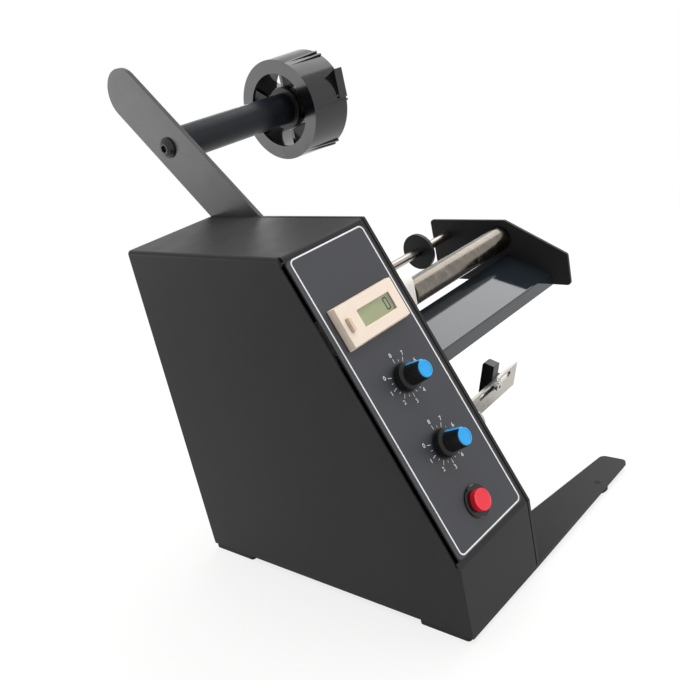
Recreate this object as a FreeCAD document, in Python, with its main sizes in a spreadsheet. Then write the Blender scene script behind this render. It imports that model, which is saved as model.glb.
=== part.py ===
import FreeCAD, Part
import math
import os

import Sketcher

# Label dispenser: a narrow upright box with a sloping control panel, a peel
# head that reaches out to the right, and a supply hub carried by a bar.
# Modelling axes: x from the left face to the right, y from the front to the
# back, z up from the table. All lengths are in millimetres.
SIZES = {
    # The box
    "box_width": 69,
    "box_depth": 208,
    "box_height": 207.5,
    "top_depth": 129,
    "nose_height": 44.5,
    "cover_sheet": 1.2,
    "side_sheet": 2,
    "base_sheet": 2,
    "back_sheet": 1.2,
    "side_seam": 1,
    "corner_seam": 1.6,
    "corner_relief": 4.5,
    "bend_radius": 2.4,
    "return_flange": 12,
    "side_flange": 12,
    "back_flange": 10,
    "sheet_gap": 0.4,
    # Feet and outrigger
    "foot_height": 3.5,
    "pad_width": 12,
    "pad_length": 36,
    "pad_inset": 0.4,
    "outrigger_reach": 120,
    "outrigger_root": 36.4,
    "outrigger_tip": 18.3,
    "outrigger_taper": 1.5,
    "outrigger_corner": 4,
    "foot_radius": 6,
    "foot_from_tip": 31.5,
    "foot_stem_radius": 2,
    # Screws, by size
    "screw_radius": 1.5,
    "screw_head_radius": 2.75,
    "screw_head": 1.7,
    "screw_flats": 1,
    "screw_tail": 2.5,
    "hole_gap": 0.1,
    "bolt_radius": 2,
    "bolt_head_radius": 3.8,
    "bolt_head": 2.2,
    "bolt_flats": 1.4,
    "nut_radius": 4,
    "nut_height": 3.2,
    # Panel film
    "film": 0.3,
    "film_margin": 2,
    "film_corner": 3,
    "panel_column": 33.3,
    # Counter
    "counter_place": 134.3,
    "counter_length": 48,
    "counter_height": 24,
    "bezel": 5,
    "counter_wall": 1.5,
    "counter_depth": 22,
    "display_from_centre": 3.4,
    "display_length": 26.4,
    "display_height": 9.8,
    "display_recess": 3.4,
    "display_glass": 1,
    "window_drop": 0.5,
    "key_from_centre": 18.9,
    "key_width": 2.2,
    "key_height": 7,
    "key_gap": 0.2,
    "key_travel": 1.3,
    "key_stand": 2.2,
    "key_length": 5,
    "bracket_rim": 1.8,
    "bracket_depth": 3,
    # Knobs and their controls
    "length_knob_place": 95.9,
    "speed_knob_place": 55.6,
    "knob_radius": 8,
    "knob_waist": 6.9,
    "knob_neck": 6,
    "knob_skirt": 2.4,
    "knob_height": 16,
    "knob_gap": 0.8,
    "knob_recess_radius": 6.6,
    "knob_recess": 3.4,
    "cap_radius": 5,
    "cap_depth": 1.2,
    "cap_dome": 0.6,
    "shaft_radius": 3,
    "shaft_grip": 9,
    "shaft_tail": 6,
    "bush_wall": 1.4,
    "bush_height": 3,
    "pot_radius": 8,
    "pot_depth": 9,
    "pot_nut_radius": 5.6,
    "pot_nut": 1.8,
    # Power button
    "button_place": 20.5,
    "button_radius": 6,
    "button_rim": 9,
    "button_rim_height": 1.5,
    "button_stand": 5,
    "button_travel": 2.5,
    "button_skirt": 3,
    "switch_radius": 7.2,
    "switch_depth": 25,
    "switch_nut_radius": 9.5,
    "switch_nut": 2.5,
    # Supply arm and spindle
    "spindle_behind": 26.05,
    "spindle_above": 45.5,
    "spindle_offset": 2.3,
    "arm_width": 33.5,
    "arm_sheet": 3,
    "arm_head": 48.3,
    "arm_tail": 117.2,
    "arm_bolt_pitch": 30,
    "spindle_radius": 11,
    "spindle_reach": 131,
    "spindle_chamfer": 1,
    "spindle_bolt_radius": 3,
    "spindle_bolt_length": 15,
    "spindle_bolt_head": 6.7,
    "spindle_bolt_dome": 4,
    "spindle_bolt_flats": 2.3,
    # Supply hub
    "hub_from_arm": 100.5,
    "hub_length": 33.5,
    "hub_radius": 35.6,
    "hub_wall": 2,
    "hub_rim_radius": 26,
    "hub_rim": 2.5,
    "hub_sleeve_radius": 15.5,
    "hub_recess": 7,
    "hub_web": 2.4,
    "hub_web_drop": 2,
    "hub_flare": 0.9,
    "rib_height": 1.2,
    "rib_width": 1.4,
    "rib_spread": 2.1,
    "lug_width": 8,
    "lug_height": 7,
    "lug_tail": 2.1,
    "bush_radius": 12.4,
    "bush_flange_radius": 14.8,
    "bush_flange": 1.5,
    "running_gap": 0.05,
    "end_gap": 0.3,
    "clip_thickness": 1.2,
    # Peel head
    "head_reach": 124,
    "end_sheet": 2,
    "end_corner": 2.5,
    "end_before_roller": 47.1,
    "end_behind_roller": 55,
    "end_below_roller": 30.9,
    "end_shoulder": 21,
    "end_above_roller": 11.9,
    "end_slant": 42.5,
    "end_back_corner": 3,
    "peel_before_roller": 34.4,
    "peel_below_roller": 23.1,
    "peel_length": 33.7,
    "peel_sheet": 1.5,
    "peel_lip": 8,
    "peel_flange": 7,
    "peel_bend": 1.2,
    "tab_start": 10,
    "tab_width": 18,
    "tab_drop": 14,
    "tab_hole_drop": 8,
    "rod_behind_roller": 41.8,
    "rod_above_roller": 1.2,
    "rod_radius": 3,
    # Rollers
    "roller_behind_slope": 24.3,
    "roller_drop": 54.5,
    "roller_radius": 8,
    "roller_gap": 0.3,
    "journal_radius": 4,
    "journal_tail": 1.5,
    "shoulder_gap": 0.9,
    "rubber_wall": 2,
    "block_radius": 6.7,
    "block_length": 20.5,
    "block_below": 3.5,
    "block_above": 8.2,
    "bearing_radius": 6,
    "bearing_flange_radius": 7,
    "bearing_flange": 1.5,
    # Gears
    "tooth_module": 0.8,
    "backlash": 0.12,
    "gear_width": 3.5,
    "gear_gap": 0.5,
    "gear_from_side": 2.2,
    # Drive
    "motor_plate": 1.5,
    "motor_radius": 18.5,
    "motor_can_radius": 17.5,
    "gearbox_length": 22,
    "motor_length": 48,
    "motor_boss_radius": 6,
    "motor_screw_circle": 15.5,
    "standoff_radius": 3,
    "plate_margin": 5.5,
    # Controller board
    "board_back_gap": 12,
    "board_bottom": 10,
    "board_depth": 58,
    "board_height": 85,
    "board_sheet": 1.6,
    "board_standoff": 6.4,
    "board_inset": 4,
    "block_rise": 14,
    "can_rise": 18,
    "can_radius": 5,
    "chip_rise": 3,
    # Inlet and grommet
    "inlet_radius": 4,
    "inlet_flange_radius": 5.5,
    "inlet_flange": 1.5,
    "inlet_bore": 2.75,
    "inlet_pin": 1,
    "inlet_length": 14,
    "inlet_up": 32,
    "grommet_radius": 5,
    "grommet_lip": 1.5,
    "grommet_lip_width": 1,
    "grommet_bore": 2.5,
    "grommet_behind_pivot": 24,
    "grommet_below_pivot": 15,
    # Guide disc
    "disc_from_side": 88.5,
    "disc_radius": 12,
    "disc_width": 2.5,
    "collar_radius": 6,
    "collar_width": 5,
    "grub_radius": 1.2,
    "grub_stand": 0.6,
    # Gap sensor
    "pivot_behind_slope": 6.7,
    "pivot_below_peel": 40.9,
    "flange_radius": 6,
    "strip_sheet": 1.6,
    "strip_back": 4,
    "strip_reach": 49.5,
    "strip_height": 16.5,
    "strip_top": 13.2,
    "strip_rise": 2.6,
    "slot_radius": 1.7,
    "slot_drop": 3.8,
    "slot_start": 11.5,
    "slot_end": 41,
    "sensor_screw_from_side": 27,
    "washer_radius": 3.8,
    "washer": 0.7,
    "sensor_width": 6.2,
    "sensor_depth": 7.6,
    "sensor_rise": 8.1,
    "sensor_foot": 11,
    "sensor_foot_depth": 7,
    "sensor_foot_height": 10.8,
    "sensor_step": 2.2,
    "sensor_left": 24.3,
    "sensor_bevel": 1.2,
    "overrun": 1,
}
ANGLES = {
    "arm_angle": 46.3,
    "peel_angle": 20.9,
    "pair_angle": -27.6,
    "motor_angle": -50,
    "lean_angle": 18,
    "lug_start_angle": 211.5,
    "lug_end_angle": 240,
}
ROLLER_TEETH = 20
DRIVE_TEETH = 40
PINION_TEETH = 16
PRESSURE_ANGLE = math.radians(20)
HUB_WEBS = 6

left_screw_shares = (0.3, 0.7)
side_screw_shares = (0.3, 0.7)
component_shares = ((0.12, 0.08, 0.5, 0.3), (0.6, 0.08, 0.9, 0.3), (0.12, 0.62, 0.42, 0.9))
can_shares = ((0.25, 0.45), (0.5, 0.45), (0.75, 0.45))
chip_shares = ((0.55, 0.62, 0.88, 0.76),)

document = FreeCAD.newDocument("LabelDispenser")
sheet = document.addObject("Spreadsheet::Sheet", "Sizes")
pieces = []


class Size:
    """A length with the sheet expression that it comes from."""

    def __init__(self, value, text):
        self.value = float(value)
        self.text = text

    def __add__(self, other):
        return joined(self, other, "+", self.value + amount(other))

    def __radd__(self, other):
        return joined(other, self, "+", amount(other) + self.value)

    def __sub__(self, other):
        return joined(self, other, "-", self.value - amount(other))

    def __rsub__(self, other):
        return joined(other, self, "-", amount(other) - self.value)

    def __mul__(self, other):
        return joined(self, other, "*", self.value * amount(other))

    def __rmul__(self, other):
        return joined(other, self, "*", amount(other) * self.value)

    def __truediv__(self, other):
        return joined(self, other, "/", self.value / amount(other))

    def __neg__(self):
        return Size(-self.value, "(-1 * " + self.text + ")")


def amount(item):
    """The plain number in a size or a number."""
    return item.value if isinstance(item, Size) else float(item)


def wording(item):
    """The expression text of a size or a number."""
    return item.text if isinstance(item, Size) else "(" + repr(float(item)) + ")"


def joined(first, second, sign, value):
    """A size made from two others."""
    return Size(value, "(" + wording(first) + " " + sign + " " + wording(second) + ")")


def root(item):
    """The square root of a size."""
    return Size(math.sqrt(item.value), "sqrt(" + item.text + ")")


class Sizes:
    """The named sizes, kept in the sheet."""

    def __init__(self, lengths, angles):
        for row, (name, value) in enumerate({**lengths, **angles}.items(), start=1):
            sheet.set("A" + str(row), str(value))
            sheet.setAlias("A" + str(row), name)
            setattr(self, name, Size(value, "Sizes." + name))


def cosine(angle):
    """The cosine of an angle that the sheet holds."""
    return Size(math.cos(math.radians(angle.value)), "cos(" + angle.text + ")")


def sine(angle):
    """The sine of an angle that the sheet holds."""
    return Size(math.sin(math.radians(angle.value)), "sin(" + angle.text + ")")


s = Sizes(SIZES, ANGLES)
document.recompute()
zero = Size(0, "0")

# Levels and faces that several pieces share
deck = s.foot_height + s.base_sheet
nose_top = s.foot_height + s.nose_height
top = s.foot_height + s.box_height
slope_run = s.box_depth - s.top_depth
slope_rise = s.box_height - s.nose_height
slope_length = root(slope_run * slope_run + slope_rise * slope_rise)
slope_cos = slope_run / slope_length
slope_sin = slope_rise / slope_length
outside = s.box_width
side_left = outside - s.side_sheet
cover_right = side_left - s.side_seam
end_left = outside + s.head_reach
end_right = end_left + s.end_sheet
arm_right = outside + s.arm_sheet
hub_left = arm_right + s.hub_from_arm
hub_right = hub_left + s.hub_length



def slope_at(level):
    """How far back the slope stands at a level."""
    return (level - nose_top) * slope_run / slope_rise


# Axes that run across the machine, as (y, z): the head hangs from the top
# and keeps its distance from the slope, the arm stands on the rear top edge
spindle_axis = (s.box_depth + s.spindle_behind, top + s.spindle_above)
roller_axis = (slope_at(top - s.roller_drop) + s.roller_behind_slope, top - s.roller_drop)
roller_pitch = s.tooth_module * ROLLER_TEETH
drive_pitch = s.tooth_module * ((DRIVE_TEETH + PINION_TEETH) / 2)
drive_axis = (
    roller_axis[0] + roller_pitch * cosine(s.pair_angle),
    roller_axis[1] + roller_pitch * sine(s.pair_angle),
)
motor_axis = (
    drive_axis[0] + drive_pitch * cosine(s.motor_angle),
    drive_axis[1] + drive_pitch * sine(s.motor_angle),
)
rod_axis = (roller_axis[0] + s.rod_behind_roller, roller_axis[1] + s.rod_above_roller)
peel_edge = (roller_axis[0] - s.peel_before_roller, roller_axis[1] - s.peel_below_roller)
pivot_up = peel_edge[1] - s.pivot_below_peel
pivot_axis = (slope_at(pivot_up) + s.pivot_behind_slope, pivot_up)
grommet_axis = (pivot_axis[0] + s.grommet_behind_pivot, pivot_axis[1] - s.grommet_below_pivot)

# Gears stand inside the box, beside the side plate
outer_gear_left = side_left - s.gear_from_side - s.gear_width
inner_gear_left = outer_gear_left - s.gear_gap - s.gear_width
motor_plate_left = inner_gear_left - s.gear_gap - s.motor_plate
board_right = side_left - s.board_standoff
board_left = board_right - s.board_sheet

# The supply arm's centre line passes beside the spindle
arm_cos = cosine(s.arm_angle)
arm_sin = sine(s.arm_angle)
arm_foot = (
    spindle_axis[0] - s.spindle_offset * arm_sin,
    spindle_axis[1] + s.spindle_offset * arm_cos,
)

# The model stands over the middle of its own outline
middle_x = hub_right / 2
middle_y = (arm_foot[0] + s.arm_head * arm_cos + s.arm_width / 2) / 2


def along_arm(distance):
    """A point of the arm's centre line, counted from beside the spindle."""
    return (arm_foot[0] + distance * arm_cos, arm_foot[1] + distance * arm_sin)


def on_panel(across, up):
    """The place of a panel feature, in modelling axes."""
    return (across, up * slope_cos, nose_top + up * slope_sin)


def inset_corners(depth):
    """The two bends of the slope, moved inward by a depth."""
    low = (depth, nose_top - depth * (1 - slope_sin) / slope_cos)
    high = ((depth + (slope_rise - depth) * slope_cos) / slope_sin, top - depth)
    return low, high


TURN_PANEL = FreeCAD.Rotation(FreeCAD.Vector(1, 0, 0), math.degrees(math.atan2(slope_rise.value, slope_run.value)))
TURN_ACROSS = FreeCAD.Rotation(FreeCAD.Vector(0, 1, 0), 90)
TURN_BACKWARD = FreeCAD.Rotation(FreeCAD.Vector(1, 0, 0), -90)
TURN_LEAN = FreeCAD.Rotation(FreeCAD.Vector(1, 0, 0), s.lean_angle.value)
NO_TURN = FreeCAD.Rotation()


def bind(thing, path, item):
    """Ties one property of an object to the sheet."""
    thing.setExpression(path, item.text)


def pin(sketch, geometry, point, across, up):
    """Fixes a sketch point at a place counted from the sketch's origin."""
    numbers = sketch.addConstraint([
        Sketcher.Constraint("DistanceX", -1, 1, geometry, point, across.value),
        Sketcher.Constraint("DistanceY", -1, 1, geometry, point, up.value),
    ])
    bind(sketch, "Constraints[%d]" % numbers[0], across)
    bind(sketch, "Constraints[%d]" % numbers[1], up)


def polygon(sketch, points):
    """Draws a closed chain of lines through points."""
    first = len(sketch.Geometry)
    corners = [FreeCAD.Vector(across.value, up.value, 0) for across, up in points]
    for index, corner in enumerate(corners):
        sketch.addGeometry(Part.LineSegment(corner, corners[(index + 1) % len(corners)]))
    for index, (across, up) in enumerate(points):
        before = first + (index - 1) % len(points)
        sketch.addConstraint(Sketcher.Constraint("Coincident", before, 2, first + index, 1))
        pin(sketch, first + index, 1, across, up)


def rectangle(sketch, left, low, right, high):
    """Draws an upright rectangle."""
    polygon(sketch, [(left, low), (right, low), (right, high), (left, high)])


def circle(sketch, across, up, radius):
    """Draws a circle at a place."""
    centre = FreeCAD.Vector(across.value, up.value, 0)
    number = sketch.addGeometry(Part.Circle(centre, FreeCAD.Vector(0, 0, 1), radius.value))
    pin(sketch, number, 3, across, up)
    limit = sketch.addConstraint(Sketcher.Constraint("Radius", number, radius.value))
    bind(sketch, "Constraints[%d]" % limit, radius)


def slot(sketch, start, end, radius):
    """Draws a slot whose round ends are centred on two points."""
    low = FreeCAD.Vector(start[0].value, start[1].value, 0)
    high = FreeCAD.Vector(end[0].value, end[1].value, 0)
    run = high - low
    angle = math.atan2(run.y, run.x)
    side = FreeCAD.Vector(-math.sin(angle), math.cos(angle), 0) * radius.value
    up = FreeCAD.Vector(0, 0, 1)
    quarter = math.pi / 2
    tail = Part.ArcOfCircle(Part.Circle(low, up, radius.value), angle + quarter, angle + 3 * quarter)
    head = Part.ArcOfCircle(Part.Circle(high, up, radius.value), angle - quarter, angle + quarter)
    first = sketch.addGeometry(tail)
    second = sketch.addGeometry(Part.LineSegment(low - side, high - side))
    third = sketch.addGeometry(head)
    fourth = sketch.addGeometry(Part.LineSegment(high + side, low + side))
    numbers = sketch.addConstraint([
        Sketcher.Constraint("Tangent", first, 2, second, 1),
        Sketcher.Constraint("Tangent", second, 2, third, 1),
        Sketcher.Constraint("Tangent", third, 2, fourth, 1),
        Sketcher.Constraint("Tangent", fourth, 2, first, 1),
        Sketcher.Constraint("Equal", first, third),
        Sketcher.Constraint("Radius", first, radius.value),
    ])
    bind(sketch, "Constraints[%d]" % numbers[-1], radius)
    pin(sketch, first, 3, start[0], start[1])
    pin(sketch, third, 3, end[0], end[1])


class Piece:
    """One body: its sketches, its features and its place."""

    def __init__(self, label, place=(zero, zero, zero), turn=NO_TURN):
        self.body = document.addObject("PartDesign::Body", label)
        self.body.Label = label
        self.body.Placement = FreeCAD.Placement(FreeCAD.Vector(), turn)
        bind(self.body, "Placement.Base.x", place[0] - middle_x)
        bind(self.body, "Placement.Base.y", place[1] - middle_y)
        bind(self.body, "Placement.Base.z", place[2])
        pieces.append(self.body)

    def sketch(self, plane="XY_Plane", offset=zero, turn=None, shift=None):
        """A new sketch on one of the body's own planes."""
        sketch = self.body.newObject("Sketcher::SketchObject", self.body.Name + "_sketch")
        support = next(item for item in self.body.Origin.OriginFeatures if item.Role == plane)
        sketch.AttachmentSupport = [(support, "")]
        sketch.MapMode = "FlatFace"
        if turn is not None:
            sketch.AttachmentOffset = FreeCAD.Placement(FreeCAD.Vector(), turn)
        bind(sketch, "AttachmentOffset.Base.z", offset)
        if shift is not None:
            bind(sketch, "AttachmentOffset.Base.y", shift)
        return sketch

    def pad(self, sketch, length, reverse=False, both=False, draft=0):
        """Adds material to one side of a sketch, or to both."""
        feature = self.body.newObject("PartDesign::Pad", self.body.Name + "_pad")
        feature.Profile = sketch
        feature.Midplane = both
        feature.Reversed = reverse
        feature.TaperAngle = draft
        bind(feature, "Length", length)
        return feature

    def cut(self, sketch, length, reverse=False, both=True):
        """Removes material and makes sure that something was removed."""
        document.recompute()
        before = self.body.Shape.Volume
        feature = self.body.newObject("PartDesign::Pocket", self.body.Name + "_cut")
        feature.Profile = sketch
        feature.Midplane = both
        feature.Reversed = reverse
        bind(feature, "Length", length)
        document.recompute()
        if self.body.Shape.Volume > before * (1 - 1e-9):
            raise RuntimeError(self.body.Label + ": a cut removes nothing")
        return feature

    def revolve(self, points, beside=zero, behind=zero):
        """Turns a profile of (radius, height) points round an upright axis."""
        sketch = self.sketch("XZ_Plane", -behind)
        bind(sketch, "AttachmentOffset.Base.x", beside)
        polygon(sketch, points)
        feature = self.body.newObject("PartDesign::Revolution", self.body.Name + "_turned")
        feature.Profile = sketch
        feature.ReferenceAxis = (sketch, ["V_Axis"])
        feature.Angle = 360
        return feature

    def polar(self, features, sketch, count):
        """Repeats features round the axis that stands on a sketch."""
        document.recompute()
        feature = self.body.newObject("PartDesign::PolarPattern", self.body.Name + "_ring")
        feature.Originals = features
        feature.Axis = (sketch, ["N_Axis"])
        feature.Angle = 360
        feature.Occurrences = count
        self.body.Tip = feature
        return feature

    def edges(self, direction, places):
        """Names of the straight edges along a direction through given places."""
        document.recompute()
        names = []
        for number, edge in enumerate(self.body.Tip.Shape.Edges, start=1):
            if edge.Curve.TypeId != "Part::GeomLine":
                continue
            along = edge.tangentAt(edge.FirstParameter)
            if abs(along.dot(direction)) < 1 - 1e-6:
                continue
            middle = edge.valueAt((edge.FirstParameter + edge.LastParameter) / 2)
            flat = middle - direction * middle.dot(direction)
            for place in places:
                target = FreeCAD.Vector(*[amount(item) for item in place])
                target = target - direction * target.dot(direction)
                if flat.distanceToPoint(target) < s.hole_gap.value:
                    names.append("Edge%d" % number)
                    break
        if not names:
            raise RuntimeError(self.body.Label + ": no edge at the given places")
        return names

    def round(self, radius, direction, places, kind="Fillet"):
        """Rounds or bevels straight edges that pass through given places."""
        names = self.edges(direction, places)
        base = self.body.Tip
        feature = self.body.newObject("PartDesign::" + kind, self.body.Name + "_" + kind.lower())
        feature.Base = (base, names)
        bind(feature, "Radius" if kind == "Fillet" else "Size", radius)
        document.recompute()
        return feature


ACROSS = FreeCAD.Vector(1, 0, 0)
BACK = FreeCAD.Vector(0, 1, 0)
UP = FreeCAD.Vector(0, 0, 1)


def tube(piece, outer, inner, low, high):
    """Turns a plain ring or, with no inner radius, a rod."""
    piece.revolve([(inner, low), (outer, low), (outer, high), (inner, high)])


def across(label, axis, start=zero):
    """A turned piece whose local z axis runs to the right."""
    return Piece(label, (start, axis[0], axis[1]), TURN_ACROSS)


def screws(piece, plane, level, places, length, heads_toward=1, small=True):
    """Adds alike screws whose heads rest on one level; only the bolts are socketed."""
    radius = s.screw_radius if small else s.bolt_radius
    head_radius = s.screw_head_radius if small else s.bolt_head_radius
    head = s.screw_head if small else s.bolt_head
    shanks = piece.sketch(plane, level)
    caps = piece.sketch(plane, level)
    for place in places:
        circle(shanks, place[0], place[1], radius)
        circle(caps, place[0], place[1], head_radius)
    piece.pad(caps, head, reverse=heads_toward < 0)
    piece.pad(shanks, length, reverse=heads_toward > 0)
    if small:
        return
    sockets = piece.sketch(plane, level + head * heads_toward)
    for place in places:
        hexagon(sockets, place, s.bolt_flats)
    piece.cut(sockets, head)


def hexagon(sketch, centre, flats):
    """Draws a hexagon round a centre, from half its width over the flats."""
    corner = flats * (2 / math.sqrt(3))
    points = []
    for number in range(6):
        angle = math.radians(60 * number)
        points.append((centre[0] + corner * math.cos(angle), centre[1] + corner * math.sin(angle)))
    polygon(sketch, points)


# Places of the fasteners
cover_screw_places = [(s.return_flange / 2, s.box_depth * share) for share in left_screw_shares]
side_flange_middle = side_left - s.side_flange / 2
side_screw_places = [(side_flange_middle, s.box_depth * share) for share in side_screw_shares]
back_screw_places = [(s.panel_column - s.pad_width, s.box_depth - s.back_flange / 2),
                     (s.panel_column + s.pad_width, s.box_depth - s.back_flange / 2)]
peel_cos = cosine(s.peel_angle)
peel_sin = sine(s.peel_angle)


def on_peel(along, drop):
    """A place in the peel plate's section: along the plate and below it."""
    return (
        peel_edge[0] + along * peel_cos + drop * peel_sin,
        peel_edge[1] + along * peel_sin - drop * peel_cos,
    )


tab_hole = on_peel(s.tab_start + s.tab_width / 2, s.tab_hole_drop)
block_low = (roller_axis[0], roller_axis[1] - s.block_below)
block_high = (roller_axis[0], roller_axis[1] + s.block_above)
block_screw_places = [(block_low[0], block_low[1] - s.block_below), block_high]
arm_bolt_places = [along_arm(-s.arm_tail + s.arm_bolt_pitch * share) for share in (0, 1)]
motor_screw_places = []
for turn in (0, 90, -90):
    direction = math.radians(s.motor_angle.value + turn)
    motor_screw_places.append((
        motor_axis[0] + s.motor_screw_circle * math.cos(direction),
        motor_axis[1] + s.motor_screw_circle * math.sin(direction),
    ))
standoff_circle = s.motor_radius + s.plate_margin
standoff_places = []
for turn in (15, 80, 165):
    direction = math.radians(s.motor_angle.value + turn - 90)
    standoff_places.append((
        motor_axis[0] + standoff_circle * math.cos(direction),
        motor_axis[1] + standoff_circle * math.sin(direction),
    ))
board_front = s.box_depth - s.board_back_gap - s.board_depth
board_low = s.board_bottom + s.foot_height
board_hole_places = []
for depth_side in (0, 1):
    for height_side in (0, 1):
        board_hole_places.append((
            board_front + s.board_inset + (s.board_depth - 2 * s.board_inset) * depth_side,
            board_low + s.board_inset + (s.board_height - 2 * s.board_inset) * height_side,
        ))
screw_hole = s.screw_radius + s.hole_gap
bolt_hole = s.bolt_radius + s.hole_gap


def box_profile(inset):
    """The box's outline in the side view, moved inward by a depth."""
    low, high = inset_corners(inset)
    return [(inset, deck), low, high, (s.box_depth, top - inset), (s.box_depth, deck)]


def cover():
    """Folded cover: nose, slope, top and left side, open to the right."""
    piece = Piece("cover")
    sheet_depth = s.cover_sheet
    band = piece.sketch("YZ_Plane")
    low, high = inset_corners(sheet_depth)
    polygon(band, [
        (zero, deck),
        (zero, nose_top),
        (slope_run, top),
        (s.box_depth, top),
        (s.box_depth, top - sheet_depth),
        high,
        low,
        (sheet_depth, deck),
    ])
    piece.pad(band, cover_right)
    gap = (sheet_depth + s.corner_seam) / slope_sin
    left = piece.sketch("YZ_Plane")
    polygon(left, [
        (zero, deck),
        (zero, nose_top),
        (gap, nose_top),
        (slope_run + gap, top),
        (s.box_depth, top),
        (s.box_depth, deck),
    ])
    piece.pad(left, sheet_depth)
    flange = piece.sketch("XY_Plane", deck)
    flange_back = s.box_depth - s.back_flange - s.sheet_gap
    polygon(flange, [
        (zero, zero),
        (side_left - s.side_flange - s.sheet_gap, zero),
        (side_left - s.side_flange - s.sheet_gap, s.return_flange),
        (s.return_flange, s.return_flange),
        (s.return_flange, flange_back),
        (zero, flange_back),
    ])
    piece.pad(flange, sheet_depth)
    relief = piece.sketch("YZ_Plane")
    rectangle(
        relief,
        slope_run - s.corner_relief / 4,
        top - s.corner_relief,
        slope_run + s.corner_relief,
        top + s.overrun,
    )
    piece.cut(relief, 2 * s.bend_radius)
    inner = s.bend_radius - sheet_depth
    piece.round(s.bend_radius, BACK, [(zero, zero, top)])
    piece.round(inner, BACK, [(sheet_depth, zero, top - sheet_depth)])
    piece.round(s.bend_radius, ACROSS, [(zero, slope_run, top)])
    piece.round(inner, ACROSS, [(zero, high[0], high[1])])
    piece.round(s.bend_radius, ACROSS, [(zero, zero, nose_top)])
    holes = piece.sketch("XY_Plane", deck)
    for place in cover_screw_places:
        circle(holes, place[0], place[1], screw_hole)
    piece.cut(holes, 4 * sheet_depth)
    openings = piece.sketch("XY_Plane", zero, TURN_PANEL)
    bind(openings, "AttachmentOffset.Base.z", nose_top)
    panel_openings(openings)
    piece.cut(openings, 4 * sheet_depth)


def panel_openings(sketch):
    """Holes for the counter, the two knobs and the button, in panel axes."""
    half_length = s.counter_length / 2 - s.counter_wall + s.hole_gap
    half_height = s.counter_height / 2 - s.counter_wall + s.hole_gap
    rectangle(
        sketch,
        s.panel_column - half_length,
        s.counter_place - half_height,
        s.panel_column + half_length,
        s.counter_place + half_height,
    )
    for place in (s.length_knob_place, s.speed_knob_place):
        circle(sketch, s.panel_column, place, s.shaft_radius + s.bush_wall + s.hole_gap)
    circle(sketch, s.panel_column, s.button_place, s.switch_radius + s.hole_gap)


def panel_film():
    """Printed film on the slope."""
    piece = Piece("panel_overlay", on_panel(zero, zero), TURN_PANEL)
    film = piece.sketch()
    low = s.film_margin + s.bend_radius / 2
    high = slope_length - s.film_margin - s.bend_radius / 2
    left = s.film_margin
    right = cover_right - s.film_margin
    rectangle(film, left, low, right, high)
    piece.pad(film, s.film)
    corners = [(left, low, zero), (right, low, zero), (right, high, zero), (left, high, zero)]
    piece.round(s.film_corner, UP, corners)
    openings = piece.sketch()
    panel_openings(openings)
    piece.cut(openings, 4 * s.film)


def side_plate():
    """Right-hand plate that carries the head, the arm and the drive."""
    piece = Piece("side_plate")
    outline = piece.sketch("YZ_Plane", side_left)
    polygon(outline, [
        (zero, deck),
        (zero, nose_top),
        (slope_run, top),
        (s.box_depth, top),
        (s.box_depth, deck),
    ])
    piece.pad(outline, s.side_sheet)
    flange = piece.sketch("XY_Plane", deck)
    rectangle(flange, side_left - s.side_flange, s.cover_sheet + s.sheet_gap, side_left,
              s.box_depth - s.back_flange - s.sheet_gap)
    piece.pad(flange, s.side_sheet)
    piece.round(s.side_sheet / 2, ACROSS, [(zero, slope_run, top), (zero, zero, nose_top)])
    holes = piece.sketch("YZ_Plane", side_left)
    circle(holes, roller_axis[0], roller_axis[1], s.journal_radius + s.shoulder_gap)
    circle(holes, drive_axis[0], drive_axis[1], s.bearing_radius)
    circle(holes, grommet_axis[0], grommet_axis[1], s.grommet_radius)
    for place in [rod_axis, pivot_axis, tab_hole] + block_screw_places:
        circle(holes, place[0], place[1], screw_hole)
    for place in arm_bolt_places:
        circle(holes, place[0], place[1], bolt_hole)
    piece.cut(holes, 4 * s.side_sheet)
    flange_holes = piece.sketch("XY_Plane", deck)
    for place in side_screw_places:
        circle(flange_holes, place[0], place[1], screw_hole)
    piece.cut(flange_holes, 4 * s.side_sheet)


def base_plate():
    """Bottom sheet with the outrigger that steadies the head."""
    piece = Piece("base_plate")
    tip = outside + s.outrigger_reach
    outline = piece.sketch("XY_Plane", s.foot_height)
    polygon(outline, [
        (zero, zero),
        (outside, zero),
        (tip, s.outrigger_taper),
        (tip, s.outrigger_taper + s.outrigger_tip),
        (outside, s.outrigger_root),
        (outside, s.box_depth),
        (zero, s.box_depth),
    ])
    piece.pad(outline, s.base_sheet)
    piece.round(s.outrigger_corner, UP, [
        (tip, s.outrigger_taper, zero),
        (tip, s.outrigger_taper + s.outrigger_tip, zero),
    ])
    piece.round(s.outrigger_corner, UP, [(outside, s.outrigger_root, zero)])
    holes = piece.sketch("XY_Plane", s.foot_height)
    for place in cover_screw_places + side_screw_places + back_screw_places:
        circle(holes, place[0], place[1], screw_hole)
    circle(holes, foot_place[0], foot_place[1], s.foot_stem_radius)
    piece.cut(holes, 4 * s.base_sheet)


foot_place = (
    outside + s.outrigger_reach - s.foot_from_tip,
    s.foot_radius + s.outrigger_taper,
)


def feet():
    """Four rubber pads under the box and a round foot under the outrigger."""
    piece = Piece("foot_pads")
    pads = piece.sketch()
    for left in (s.pad_inset, outside - s.pad_inset - s.pad_width):
        for front in (s.pad_inset, s.box_depth - s.pad_inset - s.pad_length):
            rectangle(pads, left, front, left + s.pad_width, front + s.pad_length)
    piece.pad(pads, s.foot_height)
    foot = Piece("outrigger_foot", (foot_place[0], foot_place[1], zero))
    bevel = s.foot_radius - s.foot_height / 4
    foot.revolve([
        (zero, zero),
        (bevel, zero),
        (s.foot_radius, s.foot_height / 4),
        (s.foot_radius, s.foot_height),
        (s.foot_stem_radius, s.foot_height),
        (s.foot_stem_radius, deck),
        (zero, deck),
    ])


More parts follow.
